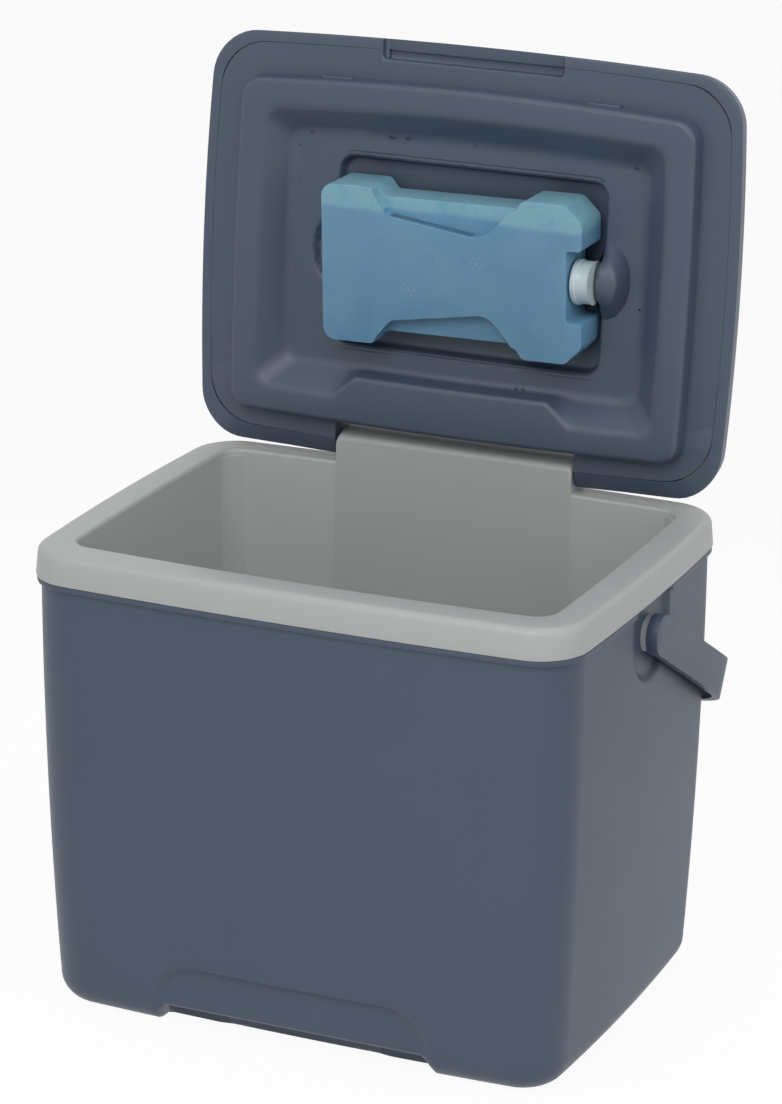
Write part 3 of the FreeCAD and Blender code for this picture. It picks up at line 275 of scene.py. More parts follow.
def settle(piece, matrix=None):
    """moves the piece by a matrix and keeps its place in its mesh"""
    if bpy.context.mode != "OBJECT":
        leaveEdit()
    bpy.ops.object.select_all(action="DESELECT")
    piece.select_set(True)
    bpy.context.view_layer.objects.active = piece
    if matrix is not None:
        piece.matrix_world = matrix @ piece.matrix_world
    bpy.ops.object.transform_apply(location=True, rotation=True, scale=True)


def smoothShade(piece, angle=38):
    bpy.ops.object.select_all(action="DESELECT")
    piece.select_set(True)
    bpy.context.view_layer.objects.active = piece
    bpy.ops.object.shade_smooth_by_angle(angle=math.radians(angle))


def turnAbout(angle, y, z):
    """a turn about the line along X through y and z, in degrees and millimetres"""
    pivot = Matrix.Translation(Vector((0, y, z)) * mm)
    return pivot @ Matrix.Rotation(math.radians(angle), 4, "X") @ pivot.inverted()


# Outer shell: the box with its bead, arches, foot notches and the sunk places round the handle's hubs
outerShell = {"foot": (341.7, 255.3), "top": (355.0, 264.8), "bulge": 14.0, "bows": (4.5, 5.2), "corner": 25.7,
              "footRound": 17.8, "skirt": 277.7, "bead": (359.2, 269.0), "beadHigh": 3.9,
              "archHalf": 90.0, "archTop": 43.0, "archCorner": 28.0, "archFace": 124.25, "archSoft": 2.6,
              "notchHalf": 84.0, "notchSlope": 9.5, "notchHigh": 14.0, "notchIn": 103.2, "notchEdge": 4.0,
              "hub": (2.0, 255.3), "recess": 26.0, "recessSlope": 3.6, "recessFloor": 174.3}


def shellSize(level):
    share = (level - outerShell["footRound"]) / (outerShell["skirt"] - outerShell["footRound"])
    return tuple(mixed(low, high, share) + outerShell["bulge"] * share * (1 - share)
                 for low, high in zip(outerShell["foot"], outerShell["top"])) + (level,)


def insideArch(x, z):
    """how far a place on the wall is inside the arch's outline"""
    corner = outerShell["archCorner"]
    besides = abs(x) - (outerShell["archHalf"] - corner)
    above = z - (outerShell["archTop"] - corner)
    if besides > 0 and above > 0:
        return corner - math.hypot(besides, above)
    return min(outerShell["archHalf"] - abs(x), outerShell["archTop"] - z)


def shapeArch(x, y, z):
    """sets the low arch back and lifts the notch between the feet, front and back"""
    if abs(x) > 99 or abs(y) < 95 or z > 50:
        return x, y, z
    side, reach = math.copysign(1, y), abs(y)
    face, turn = outerShell["archFace"], outerShell["footRound"]
    wall = 127.65 - 5.2 * (x / 170.85) ** 2
    notch = softStep((outerShell["notchHalf"] + outerShell["notchSlope"] - abs(x)) / outerShell["notchSlope"])
    if reach > face:
        reach = mixed(reach, face, softStep(insideArch(x, z) / outerShell["archSoft"] + 0.5))
    if z < 0.01 and abs(y) < wall - turn + 0.2:
        return x, y, outerShell["notchHigh"] * notch * softStep((reach - outerShell["notchIn"]) / 1.4)
    if z < turn + 0.01:
        start = wall - turn
        share = math.atan2(abs(y) - start, max(turn - z, 0)) / (math.pi / 2)
        edge = outerShell["notchEdge"]
        if share < 0.62:
            goal = (mixed(start, face - edge, share / 0.62), outerShell["notchHigh"])
        else:
            angle = (share - 0.62) / 0.38 * math.pi / 2
            goal = (face - edge + edge * math.sin(angle), outerShell["notchHigh"] + edge * (1 - math.cos(angle)))
        reach, z = mixed(reach, goal[0], notch), mixed(z, goal[1], notch)
    return x, side * reach, z


def shapeHubRecess(x, y, z):
    """sinks the wall round each handle hub"""
    hubY, hubZ = outerShell["hub"]
    floor = outerShell["recessFloor"]
    if abs(x) < floor or z > outerShell["skirt"] - outerShell["beadHigh"] + 0.05:
        return x, y, z
    away = abs(y - hubY) if z > hubZ else math.hypot(y - hubY, z - hubZ)
    slope = outerShell["recessSlope"]
    share = softStep((outerShell["recess"] + slope - away) / slope)
    return math.copysign(mixed(abs(x), floor, share), x), y, z


def makeOuterShell():
    foot = outerShell["foot"]
    form = {"size": foot, "corner": outerShell["corner"], "bows": outerShell["bows"], "steps": (150, 104)}
    piece = addOutline("outerShellWall", form, 0)
    bottom = loopHere(piece)
    wall = drawRings(piece, (*foot, 0), [(*foot, 20)])[0]
    fillLoop(piece, bottom)
    roundLoop(piece, bottom, outerShell["footRound"], 12)
    choose(piece, "FACE", lambda face: len(face.verts) > 50 and face.calc_center_median().z < 0.001)
    flat = [size - 2 * outerShell["footRound"] for size in foot]
    drawRings(piece, (*flat, 0), [(flat[0] - 3 * ring, flat[1] - 3 * ring, 0) for ring in range(1, 8)])
    beadLow = outerShell["skirt"] - outerShell["beadHigh"]
    levels = [20 + 2.2 * row for row in range(1, 16)] + [70, 90, 115, 145, 175, 200, 219]
    levels += [mixed(221, beadLow, row / 24) for row in range(25)]
    chooseLoop(piece, wall)
    drawRings(piece, (*foot, 20), [shellSize(level) for level in levels])
    bead = outerShell["bead"]
    inside = [(341.2, 251.2, outerShell["skirt"]), (328.2, 241.8, 17.2)]
    rings = drawRings(piece, shellSize(beadLow), [(*bead, beadLow), (*bead, outerShell["skirt"])] + inside)
    fillLoop(piece, rings[-1])
    moveCorners(piece, shapeArch)
    moveCorners(piece, shapeHubRecess)
    roundLoop(piece, rings[0], 0.8, 2)
    roundLoop(piece, rings[1], 0.8, 2)
    closeUp(piece)
    smoothShade(piece, 50)
    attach(piece, "box")
    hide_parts("outer_shell")
    return piece


shellPiece = makeOuterShell()
print("outer shell made")

# Inner liner: the rim, the storage space and the hinge block in one moulding
liner = {"rim": (360.0, 269.8), "rimTop": (357.2, 267.0), "corner": 27.2, "bows": (4.5, 5.2), "level": 296.6,
         "skirt": 277.7, "rimRound": 4.6, "opening": (313.0, 224.0), "openingCorner": 12.3,
         "openingBows": (2.0, 5.2), "openingBack": (1.2, 4.0), "back": 1.0, "openingRound": 2.2, "floor": (300.0, 211.0),
         "floorLevel": 32.0, "floorRound": 13.0, "blockHalf": 80.5, "blockHigh": 17.3, "blockRound": 3.6,
         "blockRise": 4.4}


def makeLiner():
    steps = (76, 54)
    level = liner["level"]
    form = {"size": liner["rim"], "corner": liner["corner"], "bows": liner["bows"], "steps": steps}
    piece = addOutline("innerLinerTub", form, liner["skirt"])
    low = loopHere(piece)
    rimTop = drawRings(piece, (*liner["rim"], liner["skirt"]), [(*liner["rimTop"], level)])[0]
    chooseLoop(piece, low)
    under = drawRings(piece, (*liner["rim"], liner["skirt"]),
                      [(355.2, 265.0, liner["skirt"]), (352.6, 262.4, 292.0), (318.2, 233.2, 292.0),
                       (304.6, 219.6, 29.5)])
    fillLoop(piece, under[-1])
    leaveEdit()
    form = {"size": liner["opening"], "corner": liner["openingCorner"], "bows": liner["openingBows"],
            "back": liner["openingBack"], "centre": (0, liner["back"]), "steps": steps}
    tub = addOutline("tub", form, level)
    mouth = loopHere(tub)
    floor = drawRings(tub, (*liner["opening"], level), [(*liner["floor"], liner["floorLevel"])],
                      (0, liner["back"]))[0]
    fillLoop(tub, floor)
    roundLoop(tub, floor, liner["floorRound"], 7)
    joinInto(piece, tub)
    edit(piece)
    bridge(piece, rimTop, mouth)
    roundLoop(piece, rimTop, liner["rimRound"], 6)
    roundLoop(piece, mouth, liner["openingRound"], 4)
    roundLoop(piece, low, 0.9, 2)
    half, soft, top = liner["blockHalf"], liner["blockRound"], level + liner["blockHigh"]
    for side in (-1, 1):
        for step in range(7):
            across = side * (half - soft + soft * math.sin(math.radians(15 * step)))
            bpy.ops.mesh.select_all(action="SELECT")
            bpy.ops.mesh.bisect(plane_co=(across * mm, 0, 0), plane_no=(1, 0, 0))

    def underBlock(face):
        x, y, z = face.calc_center_median() / mm
        return abs(x) < half and y > 100 and z > level - liner["rimRound"] and face.normal.z > 0.05

    choose(piece, "FACE", underBlock)
    bpy.ops.mesh.extrude_region_move(TRANSFORM_OT_translate={"value": (0, 0, liner["blockHigh"] * mm)})
    out, swell = liner["openingBack"]
    halfX, halfY = (size / 2 for size in liner["opening"])

    def tiltTop(x, y, z):
        # a wider rounding in front, round ends, and a top that rises to the back
        if abs(x) > half + 0.01 or z < level + liner["blockHigh"] / 2 or y < 100:
            return x, y, z
        front = liner["back"] + halfY - liner["openingBows"][1] + out + swell * (1 - (x / halfX) ** 2)
        if y < front + liner["openingRound"] + 0.05:
            grow = soft / liner["openingRound"]
            y, z = front + (y - front) * grow, top - (top - z) * grow
        z += liner["blockRise"] * max(0, y - front) / 22
        end = max(0, abs(x) - (half - soft))
        drop = (soft - math.sqrt(max(0, soft ** 2 - end ** 2))) * (1 - softStep((y - front - 4) / 12))
        return x, y, z - drop

    moveCorners(piece, tiltTop)
    closeUp(piece)
    smoothShade(piece)
    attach(piece, "box")
    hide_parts("inner_liner")
    return piece


linerPiece = makeLiner()
print("inner liner made")

# Lid, modelled closed and then turned open about its hinge. Levels count up from the rim's top.
lid = {"size": (360.9, 269.5), "bows": (5.2, 4.8), "corner": 28.2, "rim": 296.6, "edge": 18.0, "draft": 2.5,
       "topRound": 5.5, "lowRound": 1.6, "lip": (346.9, 251.7), "lipBack": -1.87, "hinge": (124.3, 308.6),
       "open": -95.25, "earRound": 11.4, "notchHalf": 81.7, "notchFront": 111.2, "gripHalf": 60.5,
       "gripFront": 121.0, "gripDeep": 6.4}
openLid = turnAbout(lid["open"], *lid["hinge"])


def lidNotch():
    rim = lid["rim"]
    half = lid["notchHalf"]
    return addBlock("notchTool", (-half, lid["notchFront"], rim - 60), (half, 170, rim + 60), 2.4, upright)


def makeLidShell():
    rim = lid["rim"]
    width, depth = lid["size"]
    form = {"size": lid["size"], "corner": lid["corner"], "bows": lid["bows"], "steps": (84, 60)}
    piece = addOutline("lidShell", form, rim + 0.5)
    low = loopHere(piece)

    def ring(level):
        inset = 2 * lid["draft"] * level / lid["edge"]
        return width - inset, depth - inset, rim + level

    loops = drawRings(piece, (width, depth, rim + 0.5), [ring(level) for level in (2.5, 5, 7.5, 10, lid["edge"])])
    fillLoop(piece, loops[-1])
    roundLoop(piece, loops[-1], lid["topRound"], 7)
    choose(piece, "FACE", lambda face: len(face.verts) > 50)
    drawRings(piece, (344.9, 253.5, rim + lid["edge"]),
              [(318, 228, rim + 19.0), (270, 182, rim + 20.4), (190, 115, rim + 21.5), (90, 50, rim + 22)])
    chooseLoop(piece, low)
    inner = drawRings(piece, (width, depth, rim + 0.5),
                      [(*lid["lip"], rim + 0.5, lid["lipBack"]), (*lid["lip"], rim + 16.4, lid["lipBack"])])
    fillLoop(piece, inner[-1])
    roundLoop(piece, low, lid["lowRound"], 3)
    roundLoop(piece, inner[0], 0.12, 1)
    closeUp(piece)
    half = lid["notchHalf"] + 2.5
    carve(piece, addBlock("notchWalls", (-half, lid["notchFront"] - 2.5, rim + 3), (half, 126, rim + 17.2)), "UNION")
    half = lid["gripHalf"] + 2.5
    front = lid["gripFront"] - 2.5
    carve(piece, addBlock("gripWalls", (-half, -129, rim + 0.7), (half, -front, rim + 10.5)), "UNION")
    carve(piece, lidNotch())
    half = lid["gripHalf"]
    grip = addBlock("gripTool", (-half, -170, rim - 60), (half, -lid["gripFront"], rim + lid["gripDeep"]), 3,
                    lambda edge: max(corner.co.y for corner in edge.verts) > -0.13)
    carve(piece, grip)
    half, front = half - 2.5, lid["gripFront"] + 5.3
    carve(piece, addBlock("gripGroove", (-half, -front, rim), (half, -lid["gripFront"], rim + lid["gripDeep"] + 2)))
    edit(piece)

    def onCut(edge):
        places = [corner.co / mm for corner in edge.verts]
        onNotch = all(abs(abs(p.x) - lid["notchHalf"]) < 0.01 or abs(p.y - lid["notchFront"]) < 0.01 for p in places)
        onGrip = all(abs(p.x) < lid["gripHalf"] + 0.01 and -131.5 < p.y < 0.01 - lid["gripFront"] for p in places)
        return (onNotch and places[0].y > 100 or onGrip) and edge.calc_face_angle(0) > 0.9

    choose(piece, "EDGE", onCut)
    bpy.ops.mesh.bevel(offset=0.7 * mm, segments=2, affect="EDGES")

    def roundEars(x, y, z):
        y = max(y, lid["draft"] * (z - rim) / lid["edge"] + lid["bows"][1] * (x / 180) ** 2 - depth / 2)
        backY, backZ = lid["hinge"]
        away = math.hypot(y - backY, z - backZ)
        if y < backY or z > backZ or away < lid["earRound"]:
            return x, y, z
        share = lid["earRound"] / away
        return x, backY + (y - backY) * share, backZ + (z - backZ) * share

    moveCorners(piece, roundEars)
    closeUp(piece)
    settle(piece, openLid)
    smoothShade(piece)
    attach(piece, "lid")
    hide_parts("lid_outer_shell")
    return piece


lidPiece = makeLidShell()
print("lid shell made")

# Lid panel: the plug that drops into the opening, with its dish, the brick's pocket and the left scoop
panel = {"plate": (346.8, 251.6), "plateCorner": 28.1, "plug": (309.0, 220.0), "plugCorner": 12.3,
         "bows": (2.0, 5.2), "plugBack": (2.6, 2.5), "back": 1.0, "plugDeep": -11.0, "crestOuter": (305.8, 217.8),
         "crestInner": (272.8, 183.8), "dish": (240.8, 151.8), "dishLevel": 4.0,
         "pocket": (180.0, 119.5), "pocketCorner": 9.5, "pocketAt": (2.3, 1.4), "pocketLevel": 13.2,
         "scoopAt": (-74.7, 1.4), "scoop": 30.0, "scoopLevel": 8.0, "plateauHalf": 65.0, "plateauSlope": 15.0,
         "plateau": 14.0, "thick": 2.2, "catchAt": 89.0, "catchWide": 21.0, "plateThick": 2.2,
         "hole": (306.2, 217.2)}


def makePlate(rim):
    """the flat rim of the panel, with the hinge notch and the finger recess cut out"""
    middle = (0, lid["lipBack"])
    form = {"size": panel["plate"], "corner": panel["plateCorner"], "bows": lid["bows"], "steps": (84, 60),
            "centre": middle}
    plate = addOutline("lidPanel", form, rim + 0.5)
    front = loopHere(plate)
    edge = drawRings(plate, (*panel["plate"], rim + 0.5), [(*panel["plate"], rim + 0.5 + panel["plateThick"])],
                     middle)[0]
    leaveEdit()
    form = {"size": panel["hole"], "corner": panel["plugCorner"], "bows": panel["bows"], "steps": (84, 60),
            "back": panel["plugBack"], "centre": (0, panel["back"])}
    hole = addOutline("plateHole", form, rim + 0.5)
    holeFront = loopHere(hole)
    holeBack = drawRings(hole, (*panel["hole"], rim + 0.5), [(*panel["hole"], rim + 0.5 + panel["plateThick"])],
                         (0, panel["back"]))[0]
    joinInto(plate, hole)
    edit(plate)
    bridge(plate, front, holeFront)
    bridge(plate, edge, holeBack)
    roundLoop(plate, front, 0.12, 1)
    closeUp(plate)
    carve(plate, lidNotch())
    half = lid["gripHalf"] + 2.5
    carve(plate, addBlock("gripGap", (-half, -170, rim - 60), (half, 2.5 - lid["gripFront"], rim + 60)))
    return plate


def makePlug(rim):
    steps = (118, 72)
    middle = (0, panel["back"])
    crest, dishLevel = rim + panel["plugDeep"], rim + panel["dishLevel"]
    form = {"size": panel["plug"], "corner": panel["plugCorner"], "bows": panel["bows"], "steps": steps,
            "back": panel["plugBack"], "centre": middle}
    plug = addOutline("plug", form, rim + 1.2)
    crestOuter, crestInner, dish = drawRings(
        plug, (*panel["plug"], rim + 1.2),
        [(*panel["crestOuter"], crest, 0.5), (*panel["crestInner"], crest), (*panel["dish"], dishLevel)], middle)
    leaveEdit()
    form = {"size": panel["pocket"], "corner": panel["pocketCorner"], "steps": steps, "centre": panel["pocketAt"]}
    pocket = addOutline("pocket", form, dishLevel)
    mouth = loopHere(pocket)
    floor = drawRings(pocket, (*panel["pocket"], dishLevel),
                      [(178.4, 117.9, rim + panel["pocketLevel"])], panel["pocketAt"])[0]
    fillLoop(pocket, floor)
    joinInto(plug, pocket)
    edit(plug)
    bridge(plug, dish, mouth, 14)
    roundLoop(plug, crestOuter, 3, 5)
    roundLoop(plug, crestInner, 3.5, 5)
    roundLoop(plug, dish, 4.5, 5)
    roundLoop(plug, mouth, 1.6, 3)
    roundLoop(plug, floor, 2.2, 3)

    def widenCrest(x, y, z):
        if y < 60 or z > dishLevel:
            return x, y, z
        ends = (panel["plateauHalf"] + panel["plateauSlope"] - abs(x)) / panel["plateauSlope"]
        share = max(0.0, min(1.0, ends)) * (dishLevel - z) / (dishLevel - crest)
        if y > 101:
            share = 0
        return x, y - panel["plateau"] * share, z

    moveCorners(plug, widenCrest)
    top, bottom = rim + panel["dishLevel"], rim + panel["pocketLevel"]

    def sinkScoop(x, y, z):
        away = math.hypot(x - panel["scoopAt"][0], y - panel["scoopAt"][1])
        share = softStep((panel["scoop"] - away) / 3.5)
        if share and top - 0.5 < z < bottom - 0.1:
            z += (panel["scoopLevel"] - panel["dishLevel"]) * share * (bottom - max(z, top)) / (bottom - top)
        return x, y, z

    moveCorners(plug, sinkScoop)
    bpy.ops.mesh.select_all(action="SELECT")
    bpy.ops.mesh.remove_doubles(threshold=0.000002)
    bpy.ops.mesh.normals_make_consistent(inside=False)
    mesh = bmesh.from_edit_mesh(plug.data)
    floorFace = max(mesh.faces, key=lambda face: len(face.verts))
    if floorFace.normal.z > 0:
        bpy.ops.mesh.flip_normals()
    leaveEdit()
    useModifier(plug, "SOLIDIFY", thickness=panel["thick"] * mm, offset=-1)
    return plug


def makeLidPanel():
    rim = lid["rim"]
    piece = makePlate(rim)
    plug = makePlug(rim)
    marks = []
    face = panel["plug"][1] / 2 - panel["back"] - 1.75
    for side in (-1, 1):
        middle = side * panel["catchAt"]
        marks.append(addBlock("catchMark", (middle - panel["catchWide"] / 2, -face - 0.7, rim - 3.6),
                              (middle + panel["catchWide"] / 2, 3 - face, rim + 0.9), 0.6))
    joinInto(piece, plug, *marks)
    settle(piece, openLid)
    smoothShade(piece, 44)
    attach(piece, "lid")
    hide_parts("lid_inner_panel")
    return piece


panelPiece = makeLidPanel()
print("lid panel made")

# Brick stop: the boss beside the pocket, a steep flank under a lens that rises to an arch over the pocket's edge
stop = {"at": (93.4, 1.4), "footLevel": 4.6, "foot": (25.0, 17.2, 0, 0), "lens": (16.5, 12.0, 5.0, 13.5),
        "arch": (13.0, 0, 6.0, 15.5), "soft": 0.9}


def stopPlace(turn, kind):
    # a place on the foot, on the lens's outer edge or on the arch, by its turn round the boss
    half, reach, low, high = stop[kind]
    out = max(0.0, turn[0])
    if kind == "arch":
        out = 0
    level = panel["dishLevel"] - mixed(low, high, abs(turn[0]) ** 0.85) if high else stop["footLevel"]
    return Vector((stop["at"][0] + reach * out, stop["at"][1] + half * turn[1], lid["rim"] + level)) * mm


def makeBrickStop():
    bpy.ops.object.select_all(action="DESELECT")
    bpy.ops.mesh.primitive_circle_add(vertices=96, radius=1)
    piece = bpy.context.object
    piece.name = piece.data.name = "brickStop"
    edit(piece)
    bpy.ops.mesh.select_mode(type="EDGE")
    bpy.ops.mesh.select_all(action="SELECT")
    rows = [("foot", "lens", step / 5) for step in range(6)] + [("lens", "arch", step / 4) for step in range(1, 5)]
    mesh = bmesh.from_edit_mesh(piece.data)
    turns = [tuple(corner.co.xy) for corner in mesh.verts]
    bpy.ops.mesh.edge_face_add()
    lensEdge = archEdge = None
    for number, (first, second, share) in enumerate(rows):
        if number:
            bpy.ops.mesh.extrude_region_move()
        mesh = bmesh.from_edit_mesh(piece.data)
        for index, corner in enumerate([corner for corner in mesh.verts if corner.select]):
            start, end = stopPlace(turns[index], first), stopPlace(turns[index], second)
            bulge = math.sin(math.pi * share) * (0.4 if first == "foot" else 0.3) * mm
            corner.co = start.lerp(end, share)
            corner.co.z -= bulge * abs(turns[index][0]) if turns[index][0] > 0 else 0
        bmesh.update_edit_mesh(piece.data)
        if share == 1:
            archEdge = loopHere(piece)
            lensEdge = lensEdge or archEdge
    bpy.ops.mesh.delete(type="ONLY_FACE")
    bpy.ops.mesh.select_mode(type="VERT")
    bpy.ops.mesh.select_all(action="SELECT")
    bpy.ops.mesh.remove_doubles(threshold=0.00002)
    bpy.ops.mesh.normals_make_consistent(inside=False)
    choose(piece, "EDGE", lambda edge: edge.calc_face_angle(0) > 0.5 and len(edge.link_faces) == 2
           and all(corner.co.z < (lid["rim"] + panel["dishLevel"] - 7) * mm for corner in edge.verts))
    bpy.ops.mesh.bevel(offset=stop["soft"] * mm, segments=3, affect="EDGES", clamp_overlap=True)
    closeUp(piece)
    settle(piece, openLid)
    smoothShade(piece, 50)
    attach(piece, "lid")
    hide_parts("lid_inner_panel")
    return piece


stopPiece = makeBrickStop()
print("brick stop made")

# Handle: one strap with a hollow inner side, and a round hub at each end
handle = {"face": 185.4, "thick": 5.2, "wide": 25.0, "reach": 162.4, "corner": 42.0, "wall": 2.2, "hollow": 3.2,
          "hubFace": 178.2, "pivot": (2.0, 255.3), "rest": -29.9}


def makeHandle():
    face, thick, wide = handle["face"], handle["thick"], handle["wide"]
    reach, corner = handle["reach"], handle["corner"]
    bpy.ops.object.select_all(action="DESELECT")
    bpy.ops.mesh.primitive_plane_add(size=1, rotation=(math.pi / 2, 0, 0))
    piece = bpy.context.object
    piece.name = piece.data.name = "handleStrap"
    piece.scale = (thick * mm, wide * mm, 1)
    piece.location = ((face - thick / 2) * mm, 0, 0)
    bpy.ops.object.transform_apply(location=True, rotation=True, scale=True)
    edit(piece)
    bpy.ops.mesh.select_mode(type="FACE")
    bpy.ops.mesh.select_all(action="SELECT")
    for row in range(6):
        bpy.ops.mesh.extrude_region_move(TRANSFORM_OT_translate={"value": (0, (reach - corner) / 6 * mm, 0)})
    side = 1
    for turn in range(2):
        centre = (side * (face - corner) * mm, (reach - corner) * mm, 0)
        for step in range(14):
            bpy.ops.mesh.extrude_region_move()
            bpy.ops.transform.rotate(value=-math.pi / 28, orient_axis="Z", center_override=centre)
        if turn == 0:
            for row in range(12):
                bpy.ops.mesh.extrude_region_move(TRANSFORM_OT_translate={"value": ((corner - face) / 6 * mm, 0, 0)})
        side = -side
    for row in range(6):
        bpy.ops.mesh.extrude_region_move(TRANSFORM_OT_translate={"value": (0, (corner - reach) / 6 * mm, 0)})
    bpy.ops.mesh.select_all(action="SELECT")
    bpy.ops.mesh.normals_make_consistent(inside=False)

    def facesIn(part):
        middle = part.calc_center_median() / mm
        heart = Vector((max(-(face - corner), min(face - corner, middle.x)), min(reach - corner, middle.y), middle.z))
        away = heart - middle
        return abs(part.normal.z) < 0.5 and away.length > 1 and part.normal.dot(away.normalized()) > 0.7 \
            and middle.y > 14

    choose(piece, "FACE", facesIn)
    bpy.ops.mesh.inset(thickness=handle["wall"] * mm, depth=0, use_boundary=True)
    bpy.ops.mesh.extrude_region_shrink_fatten(TRANSFORM_OT_shrink_fatten={"value": -handle["hollow"] * mm})
    leaveEdit()
    for side in (-1, 1):
        bpy.ops.object.select_all(action="DESELECT")
        hubThick = face - handle["hubFace"]
        bpy.ops.mesh.primitive_cylinder_add(vertices=64, radius=wide / 2 * mm, depth=hubThick * mm,
                                            location=(side * (face - hubThick / 2) * mm, 0, 0),
                                            rotation=(0, math.pi / 2, 0))
        hub = bpy.context.object
        bpy.ops.object.transform_apply(location=True, rotation=True, scale=True)
        carve(piece, hub, "UNION")
    edit(piece)
    bpy.ops.mesh.select_all(action="SELECT")
    bpy.ops.mesh.remove_doubles(threshold=0.00002)
    leaveEdit()
    useModifier(piece, "BEVEL", width=0.9 * mm, segments=3, limit_method="ANGLE", angle_limit=math.radians(50))
    y, z = handle["pivot"]
    settle(piece, Matrix.Translation(Vector((0, y, z)) * mm) @ Matrix.Rotation(math.radians(handle["rest"]), 4, "X"))
    smoothShade(piece)
    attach(piece, "handle")
    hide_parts("handle")
    return piece


handlePiece = makeHandle()
print("handle made")

# Ice brick, modelled upright with its front face at zero, then moved into the pocket
brick = {"half": (87.0, 50.0), "thick": 32.0, "corner": 8.0, "edge": 3.0, "place": (2.0, 100.0, 432.1), "roll": -1.1,
         "stripDeep": 9.0, "stripEdge": 2.0, "flakes": ((-29.5, 16.5), (-9.0, 8.0), (17.5, 8.0), (-28.5, -13.0)),
         "flake": 11.5, "cap": (14.1, 78.2, 89.6), "capDown": -1.0}
inPocket = Matrix.Translation(Vector(brick["place"]) * mm) @ Matrix.Rotation(math.radians(brick["roll"]), 4, "Y")


def makeBrick():
    right = [(76.8, 22.6), (87, 22.6), (87, 39), (76, 50), (48, 50), (43, 43), (-48, 43), (-53, 50), (-87, 50)]
    points = right + [(across, -up) for across, up in reversed(right)]
    points = [(across, up - 1) if across > 76 and abs(up) < 23 else (across, up) for across, up in points]
    piece = addShape("iceBrick", points, "XZ")
    edit(piece)
    bpy.ops.mesh.select_mode(type="FACE")
    bpy.ops.mesh.select_all(action="SELECT")
    bpy.ops.mesh.extrude_region_move(TRANSFORM_OT_translate={"value": (0, brick["thick"] * mm, 0)})
    choose(piece, "EDGE", lambda edge: abs(edge.verts[0].co.y - edge.verts[1].co.y) > 0.01
           and edge.verts[0].co.x < -0.086)
    bpy.ops.mesh.bevel(offset=brick["corner"] * mm, segments=8, affect="EDGES")
    choose(piece, "EDGE", lambda edge: abs(edge.verts[0].co.y - edge.verts[1].co.y) > 0.01
           and edge.verts[0].co.x > -0.06)
    bpy.ops.mesh.bevel(offset=2.2 * mm, segments=3, affect="EDGES")
    bpy.ops.mesh.select_all(action="SELECT")
    bpy.ops.mesh.normals_make_consistent(inside=False)
    leaveEdit()
    upper = [(-52.9, 51), (-51.8, 46), (-44, 33), (16, 24), (23, 25.5), (29.5, 31), (47.4, 51)]
    lower = [(-53.4, -51), (-52, -47), (-41, -34), (19, -25), (25, -26), (31, -31), (47.1, -51)]
    for strip in (upper, lower):
        tool = addShape("stripTool", strip, "XZ")
        edit(tool)
        bpy.ops.mesh.select_mode(type="FACE")
        bpy.ops.mesh.select_all(action="SELECT")
        bpy.ops.transform.translate(value=(0, -0.005, 0))
        bpy.ops.mesh.extrude_region_move(TRANSFORM_OT_translate={"value": (0, (brick["stripDeep"] + 5) * mm, 0)})
        choose(tool, "EDGE", lambda edge: abs(edge.verts[0].co.y - edge.verts[1].co.y) > 0.01
               and abs(edge.verts[0].co.z) < 0.048)
        bpy.ops.mesh.bevel(offset=2.4 * mm, segments=4, affect="EDGES")
        bpy.ops.mesh.select_all(action="SELECT")
        bpy.ops.mesh.normals_make_consistent(inside=False)
        leaveEdit()
        carve(piece, tool)
    edit(piece)
    bpy.ops.mesh.select_all(action="SELECT")
    bpy.ops.mesh.remove_doubles(threshold=0.00005)
    leaveEdit()
    useModifier(piece, "BEVEL", width=brick["edge"] * mm, segments=5, limit_method="ANGLE",
                angle_limit=math.radians(40))
    settle(piece, inPocket)
    smoothShade(piece, 50)
    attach(piece, "ice_brick")
    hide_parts("ice_brick_shell")
    return piece


def makeFlake(number, place):
    """a raised six-armed star with small side twigs"""
    bars = []
    size = brick["flake"]
    for arm in range(6):
        angle = arm * math.pi / 3
        out = Vector((math.cos(angle), 0, math.sin(angle)))
        twigs = [(out * size * 0.25, angle, size / 2)]
        for side in (-1, 1):
            lean = angle + side * math.pi / 3.4
            start = out * size * 0.28
            twig = Vector((math.cos(lean), 0, math.sin(lean)))
            twigs.append((start + twig * size * 0.09, lean, size * 0.18))
        for middle, turn, long in twigs:
            bpy.ops.object.select_all(action="DESELECT")
            bpy.ops.mesh.primitive_cube_add(size=1)
            bar = bpy.context.object
            bar.scale = (long * mm, 0.34 * mm, 0.5 * mm)
            bar.rotation_euler = (0, -turn, 0)
            bar.location = (middle + Vector((place[0], -0.02, place[1]))) * mm
            bpy.ops.object.transform_apply(location=True, rotation=True, scale=True)
            bars.append(bar)
    flake = joinInto(*bars)
    flake.name = flake.data.name = "brickFlake%d" % number
    useModifier(flake, "BEVEL", width=0.1 * mm, segments=1)
    settle(flake, inPocket)
    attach(flake, "ice_brick")
    return flake


